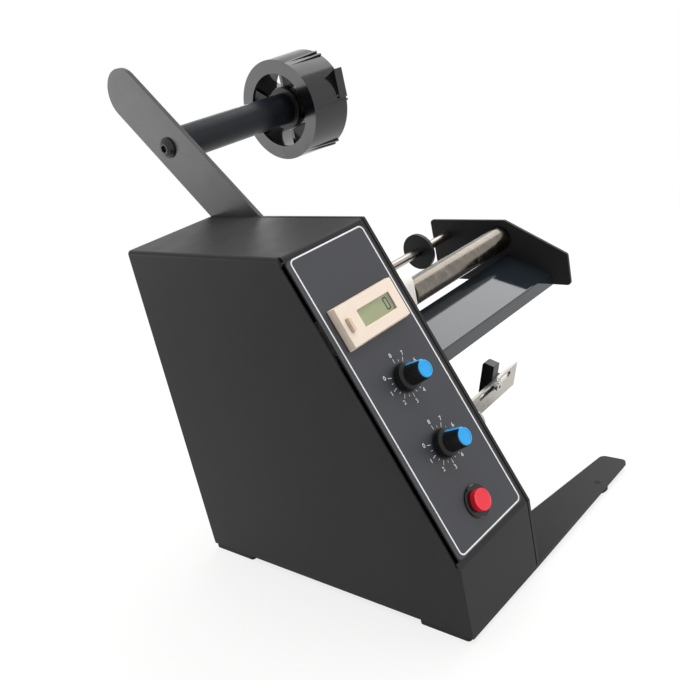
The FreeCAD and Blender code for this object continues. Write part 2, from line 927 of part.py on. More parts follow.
def back_panel():
    """Rear sheet with flanges that stand inside the box."""
    piece = Piece("back_panel")
    left = s.cover_sheet + s.sheet_gap
    right = side_left - s.sheet_gap
    high = top - s.cover_sheet - s.sheet_gap
    face = s.box_depth - s.back_sheet
    panel = piece.sketch("XZ_Plane", -s.box_depth)
    rectangle(panel, left, deck, right, high)
    piece.pad(panel, s.back_sheet)
    foot = piece.sketch("XY_Plane", deck)
    rectangle(foot, left, s.box_depth - s.back_flange, right, s.box_depth)
    piece.pad(foot, s.back_sheet)
    sides = piece.sketch("XY_Plane", deck)
    for edge, inner in ((left, left + s.back_sheet), (right, right - s.back_sheet)):
        rectangle(sides, edge, s.box_depth - s.back_flange, inner, face + s.back_sheet / 2)
    piece.pad(sides, high - deck)
    holes = piece.sketch("XY_Plane", deck)
    for place in back_screw_places:
        circle(holes, place[0], place[1], screw_hole)
    piece.cut(holes, 4 * s.back_sheet)
    inlet = piece.sketch("XZ_Plane", -s.box_depth)
    circle(inlet, s.panel_column, s.inlet_up + s.foot_height, s.inlet_radius + s.hole_gap)
    piece.cut(inlet, 4 * s.back_sheet)


def counter():
    """Counter: bezel and body, display, window, reset key and bracket."""
    place = on_panel(s.panel_column, s.counter_place)
    piece = Piece("counter_housing", place, TURN_PANEL)
    half_length = s.counter_length / 2
    half_height = s.counter_height / 2
    bezel = piece.sketch("XY_Plane", s.film)
    rectangle(bezel, -half_length, -half_height, half_length, half_height)
    piece.pad(bezel, s.bezel, draft=-9)
    body = piece.sketch("XY_Plane", s.film)
    body_length = half_length - s.counter_wall
    body_height = half_height - s.counter_wall
    rectangle(body, -body_length, -body_height, body_length, body_height)
    piece.pad(body, s.counter_depth, reverse=True)
    face = s.film + s.bezel
    recess = piece.sketch("XY_Plane", face)
    left = s.display_from_centre - s.display_length / 2
    right = s.display_from_centre + s.display_length / 2
    rectangle(recess, left, -s.display_height / 2, right, s.display_height / 2)
    piece.cut(recess, 2 * s.display_recess)
    well = piece.sketch("XY_Plane", face)
    rectangle(
        well,
        -s.key_from_centre - s.key_width / 2 - s.key_gap,
        -s.key_height / 2 - s.key_gap,
        -s.key_from_centre + s.key_width / 2 + s.key_gap,
        s.key_height / 2 + s.key_gap,
    )
    piece.cut(well, 2 * (s.key_length + s.key_travel))
    display = Piece("counter_display", place, TURN_PANEL)
    glass = display.sketch("XY_Plane", face - s.display_recess)
    rectangle(glass, left, -s.display_height / 2, right, s.display_height / 2)
    display.pad(glass, s.display_glass)
    window = Piece("counter_window", place, TURN_PANEL)
    pane = window.sketch("XY_Plane", face - s.window_drop)
    rectangle(pane, left, -s.display_height / 2, right, s.display_height / 2)
    window.pad(pane, s.display_glass, reverse=True)
    key = Piece("reset_key", place, TURN_PANEL)
    button = key.sketch("XY_Plane", face + s.key_stand)
    rectangle(
        button,
        -s.key_from_centre - s.key_width / 2,
        -s.key_height / 2,
        -s.key_from_centre + s.key_width / 2,
        s.key_height / 2,
    )
    key.pad(button, s.key_length, reverse=True)
    bracket = Piece("counter_bracket", place, TURN_PANEL)
    ring = bracket.sketch("XY_Plane", -s.cover_sheet)
    ring_length = body_length + s.bracket_rim
    ring_height = body_height + s.bracket_rim
    rectangle(ring, -ring_length, -ring_height, ring_length, ring_height)
    rectangle(ring, -body_length, -body_height, body_length, body_height)
    bracket.pad(ring, s.bracket_depth, reverse=True)


def knob(name, up):
    """A pointer knob with its cap, shaft, control and nut."""
    place = on_panel(s.panel_column, up)
    foot = s.film + s.knob_gap
    head = foot + s.knob_height
    piece = Piece(name + "_knob", place, TURN_PANEL)
    grip = s.shaft_radius
    bore_top = foot + s.knob_recess + s.shaft_grip
    piece.revolve([
        (grip, foot + s.knob_recess),
        (s.knob_recess_radius, foot + s.knob_recess),
        (s.knob_recess_radius, foot),
        (s.knob_radius, foot),
        (s.knob_radius, foot + s.knob_skirt),
        (s.knob_waist, foot + s.knob_skirt + s.knob_gap),
        (s.knob_neck, head),
        (s.cap_radius, head),
        (s.cap_radius, head - s.cap_depth),
        (zero, head - s.cap_depth),
        (zero, bore_top),
        (grip, bore_top),
    ])
    cap = Piece(name + "_knob_cap", place, TURN_PANEL)
    cap.revolve([
        (zero, head - s.cap_depth),
        (s.cap_radius, head - s.cap_depth),
        (s.cap_radius, head),
        (s.cap_radius - s.cap_dome, head + s.cap_dome),
        (zero, head + s.cap_dome),
    ])
    shaft = Piece(name + "_shaft", place, TURN_PANEL)
    tube(shaft, s.shaft_radius, zero, -s.cover_sheet - s.shaft_tail, bore_top)


def knob_controls():
    """The two turning controls behind the panel and their nuts."""
    place = on_panel(s.panel_column, s.speed_knob_place)
    controls = Piece("knob_controls", place, TURN_PANEL)
    nuts = Piece("knob_nuts", place, TURN_PANEL)
    bore = s.shaft_radius + s.running_gap
    outer = s.shaft_radius + s.bush_wall
    flats = nuts.sketch("XY_Plane", s.film)
    for up in (zero, s.length_knob_place - s.speed_knob_place):
        controls.revolve([
            (bore, -s.cover_sheet - s.shaft_tail - s.running_gap),
            (zero, -s.cover_sheet - s.shaft_tail - s.running_gap),
            (zero, -s.cover_sheet - s.pot_depth),
            (s.pot_radius, -s.cover_sheet - s.pot_depth),
            (s.pot_radius, -s.cover_sheet),
            (outer, -s.cover_sheet),
            (outer, s.bush_height),
            (bore, s.bush_height),
        ], behind=up)
        hexagon(flats, (zero, up), s.pot_nut_radius * (math.sqrt(3) / 2))
        circle(flats, zero, up, outer)
    nuts.pad(flats, s.pot_nut)


def power_button():
    """Push button with its rim, body and nut."""
    place = on_panel(s.panel_column, s.button_place)
    rim = s.film + s.button_rim_height
    well = s.button_radius + s.hole_gap
    floor = rim - s.button_skirt - s.button_travel - s.hole_gap
    cap = Piece("button_cap", place, TURN_PANEL)
    head = s.film + s.button_stand
    cap.revolve([
        (zero, rim - s.button_skirt),
        (s.button_radius, rim - s.button_skirt),
        (s.button_radius, head - s.cap_dome),
        (s.button_radius - s.cap_dome, head),
        (zero, head),
    ])
    body = Piece("switch_body", place, TURN_PANEL)
    body.revolve([
        (zero, floor),
        (well, floor),
        (well, rim),
        (s.button_rim - s.cap_dome, rim),
        (s.button_rim, rim - s.cap_dome),
        (s.button_rim, s.film),
        (s.switch_radius, s.film),
        (s.switch_radius, -s.switch_depth),
        (zero, -s.switch_depth),
    ])
    nut = Piece("switch_nut", place, TURN_PANEL)
    flats = nut.sketch("XY_Plane", -s.cover_sheet)
    hexagon(flats, (zero, zero), s.switch_nut_radius * (math.sqrt(3) / 2))
    circle(flats, zero, zero, s.switch_radius)
    nut.pad(flats, s.switch_nut, reverse=True)


def supply():
    """Supply arm, spindle, bush and hub."""
    arm = Piece("supply_arm")
    bar = arm.sketch("YZ_Plane", outside)
    slot(bar, along_arm(-s.arm_tail), along_arm(s.arm_head), s.arm_width / 2)
    arm.pad(bar, s.arm_sheet)
    holes = arm.sketch("YZ_Plane", outside)
    circle(holes, spindle_axis[0], spindle_axis[1], s.spindle_bolt_radius + s.hole_gap)
    for place in arm_bolt_places:
        circle(holes, place[0], place[1], bolt_hole)
    arm.cut(holes, 4 * s.arm_sheet)
    bolt_length = s.arm_sheet + s.side_sheet + s.nut_height
    bolts = Piece("arm_bolts")
    screws(bolts, "YZ_Plane", arm_right, arm_bolt_places, bolt_length, small=False)
    flats = bolts.sketch("YZ_Plane", side_left)
    for place in arm_bolt_places:
        hexagon(flats, place, s.nut_radius * (math.sqrt(3) / 2))
        circle(flats, place[0], place[1], bolt_hole)
    bolts.pad(flats, s.nut_height, reverse=True)
    spindle = across("spindle", spindle_axis, arm_right)
    spindle.revolve([
        (s.spindle_bolt_radius, zero),
        (s.spindle_radius, zero),
        (s.spindle_radius, s.spindle_reach - s.spindle_chamfer),
        (s.spindle_radius - s.spindle_chamfer, s.spindle_reach),
        (zero, s.spindle_reach),
        (zero, s.spindle_bolt_length),
        (s.spindle_bolt_radius, s.spindle_bolt_length),
    ])
    bolt = across("spindle_bolt", spindle_axis, outside)
    bolt.revolve([
        (zero, s.arm_sheet + s.spindle_bolt_length),
        (s.spindle_bolt_radius, s.arm_sheet + s.spindle_bolt_length),
        (s.spindle_bolt_radius, zero),
        (s.spindle_bolt_head, zero),
        (s.spindle_bolt_head, -s.spindle_bolt_dome / 4),
        (s.spindle_bolt_head * (3 / 4), -s.spindle_bolt_dome * (3 / 4)),
        (s.spindle_bolt_head / 2, -s.spindle_bolt_dome),
        (zero, -s.spindle_bolt_dome),
    ])
    socket = bolt.sketch("XY_Plane", -s.spindle_bolt_dome)
    hexagon(socket, (zero, zero), s.spindle_bolt_flats)
    bolt.cut(socket, s.spindle_bolt_dome)
    bush = across("hub_bush", spindle_axis, hub_left)
    sleeve_left = s.hub_recess
    bush_bore = s.spindle_radius + s.running_gap
    bush.revolve([
        (bush_bore, sleeve_left - s.end_gap - s.bush_flange),
        (s.bush_flange_radius, sleeve_left - s.end_gap - s.bush_flange),
        (s.bush_flange_radius, sleeve_left - s.end_gap),
        (s.bush_radius, sleeve_left - s.end_gap),
        (s.bush_radius, s.hub_length),
        (bush_bore, s.hub_length),
    ])
    clip = across("hub_clip", spindle_axis, hub_left)
    tube(clip, s.bush_flange_radius, s.bush_radius, s.hub_length - s.clip_thickness, s.hub_length)
    hub()


def hub():
    """Supply hub: rimmed drum, webs, sleeve, tapering gripping ribs and a stop lug."""
    half_step = math.radians(180 / HUB_WEBS)
    turn = TURN_ACROSS.multiply(FreeCAD.Rotation(FreeCAD.Vector(0, 0, 1), math.degrees(half_step)))
    piece = Piece("supply_hub", (hub_left, spindle_axis[0], spindle_axis[1]), turn)
    bore = s.bush_radius + s.running_gap
    web_back = s.hub_length - s.clip_thickness - s.end_gap
    piece.revolve([
        (s.hub_rim_radius, zero),
        (s.hub_radius, zero),
        (s.hub_radius + s.hub_flare, s.hub_length),
        (s.hub_radius - s.hub_wall, s.hub_length),
        (s.hub_radius - s.hub_wall, s.hub_rim),
        (s.hub_rim_radius, s.hub_rim),
    ])
    web = piece.sketch("XY_Plane", s.hub_recess + s.hub_web_drop)
    web_end = s.hub_radius - s.hub_wall / 2
    web_start = (bore + s.hub_sleeve_radius) / 2
    spoke = []
    for radius, side in ((web_start, -1), (web_end, -1), (web_end, 1), (web_start, 1)):
        aside = s.hub_web / 2 * side
        spoke.append((
            radius * math.cos(half_step) - aside * math.sin(half_step),
            radius * math.sin(half_step) + aside * math.cos(half_step),
        ))
    polygon(web, spoke)
    web_pad = piece.pad(web, web_back - s.hub_recess - 2 * s.hub_web_drop)
    piece.polar([web_pad], web, HUB_WEBS)
    tube(piece, s.hub_sleeve_radius, bore, s.hub_recess, web_back)
    rib_tip = s.hub_radius + s.hub_flare + s.rib_height
    rib_pads = []
    for side in (-1, 1):
        rib = piece.sketch("XZ_Plane", s.rib_spread * side)
        polygon(rib, [
            (s.hub_radius - s.hub_wall / 2, s.hub_rim),
            (s.hub_radius, s.hub_rim),
            (rib_tip, s.hub_length - s.hub_rim),
            (rib_tip, s.hub_length),
            (s.hub_radius - s.hub_wall / 2, s.hub_length),
        ])
        rib_pads.append(piece.pad(rib, s.rib_width, both=True))
    piece.polar(rib_pads, web, HUB_WEBS)
    lug = piece.sketch("XY_Plane", s.hub_length - s.lug_width)
    seat = s.hub_radius - s.hub_wall / 4
    polygon(lug, [
        (radius * cosine(angle), radius * sine(angle)) for radius, angle in (
            (seat, s.lug_start_angle),
            (s.hub_radius + s.lug_height, s.lug_start_angle),
            (s.hub_radius + s.lug_tail, s.lug_end_angle),
            (seat, s.lug_end_angle),
        )
    ])
    piece.pad(lug, s.lug_width)


def peel_head():
    """Peel plate, end plate, guide rod and their screws."""
    head_length = end_left - outside
    peel = Piece("peel_plate")
    thick = s.peel_sheet
    section = peel.sketch("YZ_Plane", outside)
    front = peel_edge
    lip_low = front[1] - s.peel_lip
    inner_slide = thick * (1 - peel_sin) / peel_cos
    polygon(section, [
        (front[0], lip_low),
        front,
        on_peel(s.peel_length, zero),
        on_peel(s.peel_length, s.peel_flange),
        on_peel(s.peel_length - thick, s.peel_flange),
        on_peel(s.peel_length - thick, thick),
        on_peel(inner_slide, thick),
        (front[0] + thick, lip_low),
    ])
    peel.pad(section, head_length)
    rear = on_peel(s.peel_length, zero)
    peel.round(s.peel_bend, ACROSS, [(zero, front[0], front[1]), (zero, rear[0], rear[1])])
    for left in (outside, end_left - thick):
        tab = peel.sketch("YZ_Plane", left)
        polygon(tab, [
            on_peel(s.tab_start, thick / 2),
            on_peel(s.tab_start + s.tab_width, thick / 2),
            on_peel(s.tab_start + s.tab_width, s.tab_drop),
            on_peel(s.tab_start, s.tab_drop),
        ])
        peel.pad(tab, thick)
    holes = peel.sketch("YZ_Plane", outside)
    circle(holes, tab_hole[0], tab_hole[1], screw_hole)
    peel.cut(holes, 3 * head_length)
    end = Piece("end_plate")
    outline = end.sketch("YZ_Plane", end_left)
    end_low = roller_axis[1] - s.end_below_roller
    end_high = roller_axis[1] + s.end_above_roller
    end_front = roller_axis[0] - s.end_before_roller
    end_back = roller_axis[0] + s.end_behind_roller
    corners = [
        (end_front, end_low),
        (end_front, end_low + s.end_shoulder),
        (end_front + s.end_slant, end_high),
        (end_back, end_high),
        (end_back, end_low),
    ]
    polygon(outline, corners)
    end.pad(outline, s.end_sheet)
    end.round(s.end_corner, ACROSS, [(zero, corner[0], corner[1]) for corner in corners])
    openings = end.sketch("YZ_Plane", end_left)
    for axis in (roller_axis, drive_axis):
        circle(openings, axis[0], axis[1], s.bearing_radius)
    for place in (rod_axis, tab_hole):
        circle(openings, place[0], place[1], screw_hole)
    end.cut(openings, 4 * s.end_sheet)
    rod = across("guide_rod", rod_axis, outside)
    pilot = s.screw_radius
    rod.revolve([
        (pilot, zero),
        (s.rod_radius, zero),
        (s.rod_radius, head_length),
        (pilot, head_length),
        (pilot, head_length - 4 * s.screw_tail),
        (zero, head_length - 4 * s.screw_tail),
        (zero, 4 * s.screw_tail),
        (pilot, 4 * s.screw_tail),
    ])
    reach = s.side_sheet + 3 * s.screw_tail
    left_places = [rod_axis, tab_hole] + block_screw_places
    fixings = Piece("head_screws")
    screws(fixings, "YZ_Plane", side_left, left_places, reach, heads_toward=-1)
    screws(fixings, "YZ_Plane", end_right, [rod_axis, tab_hole], reach)


def rollers():
    """Steel and rubber rollers with their bearings and gears."""
    body_left = outside + s.block_length + s.shoulder_gap
    body_right = end_left - s.shoulder_gap / 2
    tail = end_right + s.bearing_flange
    bore = s.journal_radius + s.running_gap
    steel = across("steel_roller", roller_axis)
    steel.revolve([
        (zero, outer_gear_left),
        (s.journal_radius, outer_gear_left),
        (s.journal_radius, body_left),
        (s.roller_radius, body_left),
        (s.roller_radius, body_right),
        (s.journal_radius, body_right),
        (s.journal_radius, tail),
        (zero, tail),
    ])
    drive = across("drive_roller", drive_axis)
    rubber_radius = roller_pitch - s.roller_radius - s.roller_gap
    core = rubber_radius - s.rubber_wall
    drive.revolve([
        (zero, inner_gear_left),
        (s.journal_radius, inner_gear_left),
        (s.journal_radius, body_left),
        (core, body_left),
        (core, body_right),
        (s.journal_radius, body_right),
        (s.journal_radius, tail),
        (zero, tail),
    ])
    sleeve = across("rubber_sleeve", drive_axis)
    tube(sleeve, rubber_radius, core, body_left, body_right)
    block = Piece("roller_block")
    shape = block.sketch("YZ_Plane", outside)
    slot(shape, block_low, block_high, s.block_radius)
    block.pad(shape, s.block_length)
    holes = block.sketch("YZ_Plane", outside)
    circle(holes, roller_axis[0], roller_axis[1], bore)
    block.cut(holes, 3 * s.block_length)
    pilots = block.sketch("YZ_Plane", outside)
    for place in block_screw_places:
        circle(pilots, place[0], place[1], s.screw_radius)
    block.cut(pilots, 8 * s.screw_tail)
    bush = across("drive_bush", drive_axis, outside)
    bush.revolve([
        (bore, -s.side_sheet),
        (s.bearing_radius, -s.side_sheet),
        (s.bearing_radius, zero),
        (s.bearing_flange_radius, zero),
        (s.bearing_flange_radius, s.block_length),
        (bore, s.block_length),
    ])
    ends = across("end_bearings", roller_axis, end_right)
    for axis in (roller_axis, drive_axis):
        ends.revolve([
            (bore, -s.end_sheet),
            (s.bearing_radius, -s.end_sheet),
            (s.bearing_radius, zero),
            (s.bearing_flange_radius, zero),
            (s.bearing_flange_radius, s.bearing_flange),
            (bore, s.bearing_flange),
        ], beside=roller_axis[1] - axis[1], behind=axis[0] - roller_axis[0])
    pair = s.pair_angle.value
    down = s.motor_angle.value
    gear("steel_gear", ROLLER_TEETH, roller_axis, outer_gear_left, s.journal_radius, pair)
    gear("nip_gear", ROLLER_TEETH, drive_axis, outer_gear_left, s.journal_radius, pair + 180 + 180 / ROLLER_TEETH)
    gear("drive_gear", DRIVE_TEETH, drive_axis, inner_gear_left, s.journal_radius, down)
    gear("motor_pinion", PINION_TEETH, motor_axis, inner_gear_left, s.shaft_radius, down + 180 + 180 / PINION_TEETH)


def involute(angle):
    """The involute function of a pressure angle."""
    return math.tan(angle) - angle


def gear(label, teeth, axis, left, bore, aim):
    """A spur gear with one tooth aimed at an angle of the side view."""
    pitch = s.tooth_module * (teeth / 2)
    tip = pitch + s.tooth_module
    foot = pitch - s.tooth_module * 1.25
    base_share = math.cos(PRESSURE_ANGLE)
    half = (math.pi / 4 * s.tooth_module.value - s.backlash.value / 2) / pitch.value
    flank = []
    for radius in (foot, pitch * base_share + s.tooth_module * 0.2, pitch + s.tooth_module / 4, tip):
        share = min(1, pitch.value * base_share / radius.value)
        flank.append((radius, half + involute(PRESSURE_ANGLE) - involute(math.acos(share))))
    turn = TURN_ACROSS.multiply(FreeCAD.Rotation(FreeCAD.Vector(0, 0, 1), 90 + aim))
    piece = Piece(label, (left, axis[0], axis[1]), turn)
    disc = piece.sketch()
    circle(disc, zero, zero, foot)
    piece.pad(disc, s.gear_width)
    tooth = piece.sketch()
    start = foot - s.tooth_module / 2
    low = [(start * math.cos(flank[0][1]), start * -math.sin(flank[0][1]))]
    high = [(start * math.cos(flank[0][1]), start * math.sin(flank[0][1]))]
    for radius, angle in flank:
        low.append((radius * math.cos(angle), radius * -math.sin(angle)))
        high.insert(0, (radius * math.cos(angle), radius * math.sin(angle)))
    polygon(tooth, low + high)
    tooth_pad = piece.pad(tooth, s.gear_width)
    piece.polar([tooth_pad], tooth, teeth)
    hole = piece.sketch()
    circle(hole, zero, zero, bore)
    piece.cut(hole, 3 * s.gear_width)


def drive():
    """Geared motor on its plate, held off the side plate by clinched standoffs."""
    plate = Piece("motor_plate")
    outline = plate.sketch("YZ_Plane", motor_plate_left)
    circle(outline, motor_axis[0], motor_axis[1], standoff_circle + s.standoff_radius)
    plate.pad(outline, s.motor_plate)
    holes = plate.sketch("YZ_Plane", motor_plate_left)
    circle(holes, motor_axis[0], motor_axis[1], s.motor_boss_radius + s.hole_gap)
    for place in motor_screw_places + standoff_places:
        circle(holes, place[0], place[1], screw_hole)
    plate.cut(holes, 4 * s.motor_plate)
    plate_right = motor_plate_left + s.motor_plate
    standoffs = Piece("standoffs")
    for start, held, places in (
        (plate_right, s.motor_plate, standoff_places),
        (board_right, s.board_sheet, board_hole_places),
    ):
        posts = standoffs.sketch("YZ_Plane", start)
        studs = standoffs.sketch("YZ_Plane", start)
        nuts = standoffs.sketch("YZ_Plane", start - held)
        for place in places:
            hexagon(posts, place, s.standoff_radius)
            circle(studs, place[0], place[1], s.screw_radius)
            hexagon(nuts, place, s.screw_head_radius)
        standoffs.pad(posts, side_left - start)
        standoffs.pad(studs, held + s.screw_head / 2, reverse=True)
        standoffs.pad(nuts, s.screw_head, reverse=True)
    reach = s.motor_plate + s.screw_tail
    fixings = Piece("inner_screws")
    screws(fixings, "YZ_Plane", plate_right, motor_screw_places, reach)
    motor = across("gear_motor", motor_axis, motor_plate_left)
    bore = s.shaft_radius + s.running_gap
    motor.revolve([
        (bore, s.motor_plate),
        (s.motor_boss_radius, s.motor_plate),
        (s.motor_boss_radius, zero),
        (s.motor_radius, zero),
        (s.motor_radius, -s.gearbox_length),
        (s.motor_can_radius, -s.gearbox_length),
        (s.motor_can_radius, -s.motor_length),
        (zero, -s.motor_length),
        (zero, -s.gearbox_length),
        (bore, -s.gearbox_length),
    ])
    pilots = motor.sketch()
    for turn in (0, 90, -90):
        direction = math.radians(90 + s.motor_angle.value + turn)
        screw_across = s.motor_screw_circle * math.cos(direction)
        screw_up = s.motor_screw_circle * math.sin(direction)
        circle(pilots, screw_across, screw_up, s.screw_radius)
    motor.cut(pilots, 4 * s.screw_tail)
    shaft = across("motor_shaft", motor_axis, motor_plate_left)
    shaft_end = inner_gear_left + s.gear_width - motor_plate_left
    tube(shaft, s.shaft_radius, zero, -s.gearbox_length + s.running_gap, shaft_end)


def controller():
    """Controller board on standoffs, with its larger components."""
    board = Piece("controller_board")
    card = board.sketch("YZ_Plane", board_left)
    rectangle(card, board_front, board_low, board_front + s.board_depth, board_low + s.board_height)
    for place in board_hole_places:
        circle(card, place[0], place[1], screw_hole)
    board.pad(card, s.board_sheet)
    parts = Piece("board_components")
    for shares, rise in ((component_shares, s.block_rise), (chip_shares, s.chip_rise)):
        blocks = parts.sketch("YZ_Plane", board_left)
        for low_y, low_z, high_y, high_z in shares:
            rectangle(
                blocks,
                board_front + s.board_depth * low_y,
                board_low + s.board_height * low_z,
                board_front + s.board_depth * high_y,
                board_low + s.board_height * high_z,
            )
        parts.pad(blocks, rise, reverse=True)
    cans = parts.sketch("YZ_Plane", board_left)
    for share_y, share_z in can_shares:
        circle(cans, board_front + s.board_depth * share_y, board_low + s.board_height * share_z, s.can_radius)
    parts.pad(cans, s.can_rise, reverse=True)


def inlet_and_grommet():
    """Power inlet in the rear sheet and the grommet for the sensor's lead."""
    place = (s.panel_column, s.box_depth, s.inlet_up + s.foot_height)
    inlet = Piece("power_inlet", place, TURN_BACKWARD)
    inlet.revolve([
        (zero, -s.inlet_length),
        (s.inlet_radius, -s.inlet_length),
        (s.inlet_radius, zero),
        (s.inlet_flange_radius, zero),
        (s.inlet_flange_radius, s.inlet_flange),
        (s.inlet_bore, s.inlet_flange),
        (s.inlet_bore, s.inlet_flange - s.inlet_length * (3 / 4)),
        (s.inlet_pin, s.inlet_flange - s.inlet_length * (3 / 4)),
        (s.inlet_pin, -s.inlet_flange),
        (zero, -s.inlet_flange),
    ])
    grommet = across("lead_grommet", grommet_axis, side_left)
    lip = s.grommet_radius + s.grommet_lip
    grommet.revolve([
        (s.grommet_bore, -s.grommet_lip_width),
        (lip, -s.grommet_lip_width),
        (lip, zero),
        (s.grommet_radius, zero),
        (s.grommet_radius, s.side_sheet),
        (lip, s.side_sheet),
        (lip, s.side_sheet + s.grommet_lip_width),
        (s.grommet_bore, s.side_sheet + s.grommet_lip_width),
    ])


def guide():
    """Disc that slides on the guide rod, with its set screw."""
    disc = across("guide_disc", rod_axis, outside + s.disc_from_side)
    bore = s.rod_radius + s.running_gap
    width = s.disc_width + s.collar_width
    disc.revolve([
        (bore, zero),
        (s.disc_radius, zero),
        (s.disc_radius, s.disc_width),
        (s.collar_radius, s.disc_width),
        (s.collar_radius, width),
        (bore, width),
    ])
    hole = disc.sketch("YZ_Plane")
    circle(hole, zero, s.disc_width + s.collar_width / 2, s.grub_radius)
    disc.cut(hole, s.collar_radius + s.overrun, reverse=False, both=False)
    grub = across("guide_set_screw", rod_axis, outside + s.disc_from_side)
    pin_sketch = grub.sketch("YZ_Plane", -s.collar_radius - s.grub_stand)
    circle(pin_sketch, zero, s.disc_width + s.collar_width / 2, s.grub_radius)
    grub.pad(pin_sketch, s.collar_radius + s.grub_stand - bore - s.hole_gap)


def sensor():
    """Gap sensor on a slotted strip that swings on its pivot screw."""
    place = (outside, pivot_axis[0], pivot_axis[1])
    bracket = Piece("sensor_bracket", place, TURN_LEAN)
    flange = bracket.sketch("YZ_Plane")
    strip_rear = s.strip_back + s.strip_sheet
    strip_left_top = s.strip_top - s.strip_rise
    slot(flange, (zero, zero), (s.strip_back / 2, zero), s.flange_radius)
    bracket.pad(flange, s.strip_sheet)
    web = bracket.sketch("YZ_Plane")
    polygon(web, [
        (zero, -s.flange_radius + s.strip_sheet / 2),
        (strip_rear, strip_left_top - s.strip_height),
        (strip_rear, strip_left_top),
        (s.strip_back, strip_left_top),
        (zero, s.flange_radius - s.strip_sheet / 2),
    ])
    bracket.pad(web, s.strip_sheet)
    strip = bracket.sketch("XZ_Plane", -s.strip_back)
    polygon(strip, [
        (zero, strip_left_top - s.strip_height),
        (s.strip_reach, s.strip_top - s.strip_height),
        (s.strip_reach, s.strip_top),
        (zero, strip_left_top),
    ])
    bracket.pad(strip, s.strip_sheet, reverse=True)
    bracket.round(s.strip_sheet * (3 / 4), UP, [(zero, strip_rear, zero)])
    opening = bracket.sketch("XZ_Plane", -s.strip_back)
    slot(opening, slot_point(s.slot_start), slot_point(s.slot_end), s.slot_radius)
    bracket.cut(opening, 4 * s.strip_sheet)
    hole = bracket.sketch("YZ_Plane")
    circle(hole, zero, zero, screw_hole)
    bracket.cut(hole, 4 * s.strip_sheet)
    pivot = across("pivot_screw", pivot_axis, outside)
    pivot.revolve([
        (zero, -s.side_sheet - s.screw_tail),
        (s.screw_radius, -s.side_sheet - s.screw_tail),
        (s.screw_radius, s.strip_sheet + s.running_gap),
        (s.screw_head_radius, s.strip_sheet + s.running_gap),
        (s.screw_head_radius, s.strip_sheet + s.running_gap + s.screw_head),
        (zero, s.strip_sheet + s.running_gap + s.screw_head),
    ])
    body = Piece("sensor_body", place, TURN_LEAN)
    rear = s.strip_back + s.strip_sheet + s.running_gap
    mount_top = s.strip_top
    head = body.sketch("XZ_Plane", -rear)
    rectangle(head, s.sensor_left, mount_top - s.sensor_step - s.sensor_foot_height,
              s.sensor_left + s.sensor_width, mount_top + s.sensor_rise)
    body.pad(head, s.sensor_depth, reverse=True)
    high = mount_top + s.sensor_rise
    body.round(s.sensor_bevel, ACROSS, [(zero, rear + s.sensor_depth, high)], kind="Chamfer")
    base = body.sketch("XZ_Plane", -rear)
    foot_top = mount_top - s.sensor_step
    foot_low = foot_top - s.sensor_foot_height
    rectangle(base, s.sensor_left, foot_low, s.sensor_left + s.sensor_foot, foot_top)
    body.pad(base, s.sensor_foot_depth, reverse=True)
    screw_point = slot_point(s.sensor_screw_from_side)
    pilot = body.sketch("XZ_Plane", -rear)
    circle(pilot, screw_point[0], screw_point[1], s.screw_radius)
    body.cut(pilot, 4 * s.screw_tail)
    fixing = Piece("sensor_screw", place, TURN_LEAN)
    face = s.strip_back - s.running_gap
    disc = fixing.sketch("XZ_Plane", -face)
    circle(disc, screw_point[0], screw_point[1], s.washer_radius)
    fixing.pad(disc, s.washer)
    head_sketch = fixing.sketch("XZ_Plane", -face + s.washer)
    circle(head_sketch, screw_point[0], screw_point[1], s.screw_head_radius)
    fixing.pad(head_sketch, s.screw_head)
    shank = fixing.sketch("XZ_Plane", -face)
    circle(shank, screw_point[0], screw_point[1], s.screw_radius)
    fixing.pad(shank, s.strip_sheet + s.screw_tail, reverse=True)
    socket = fixing.sketch("XZ_Plane", -face + s.washer + s.screw_head)
    hexagon(socket, screw_point, s.screw_flats)
    fixing.cut(socket, s.screw_head)


def slot_point(from_side):
    """A point of the slot's centre line, in the leaning axes."""
    rise = s.strip_rise * from_side / s.strip_reach
    return (from_side, s.strip_top - s.strip_rise + rise - s.slot_drop)


def under_screws():
    """Screws driven up through the base sheet."""
    reach = s.base_sheet + s.side_sheet + s.screw_tail
    places = cover_screw_places + side_screw_places + back_screw_places
    screws(Piece("base_screws"), "XY_Plane", s.foot_height, places, reach, heads_toward=-1)


def check_and_write():
    """Checks every object and body, then writes one file for each piece."""
    document.recompute()
    for item in document.Objects:
        if "Invalid" in item.State or "Error" in item.State:
            raise RuntimeError(item.Label + ": " + ", ".join(item.State))
    for body in pieces:
        if body.Shape.isNull() or not body.Shape.isValid():
            raise RuntimeError(body.Label + ": its shape is not valid")
    os.makedirs("parts", exist_ok=True)
    for body in pieces:
        body.Shape.exportStep("parts/" + body.Label + ".step")
        print(body.Label, len(body.Shape.Solids), round(body.Shape.Volume))


cover()
panel_film()
side_plate()
base_plate()
feet()
back_panel()
counter()
knob("length", s.length_knob_place)
knob("speed", s.speed_knob_place)
knob_controls()
power_button()
supply()
peel_head()
rollers()
drive()
controller()
inlet_and_grommet()
guide()
sensor()
under_screws()
check_and_write()
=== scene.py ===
"""Looks of a label dispenser: a narrow black sheet-metal box with a printed
control panel, a peel head that reaches out to one side, and a supply hub."""

import logging
import math
from collections.abc import Callable, Iterable, Mapping, Sequence
from dataclasses import dataclass, field
from enum import Enum
from typing import Any, ClassVar

import bmesh
import bpy
from mathutils import Matrix, Vector


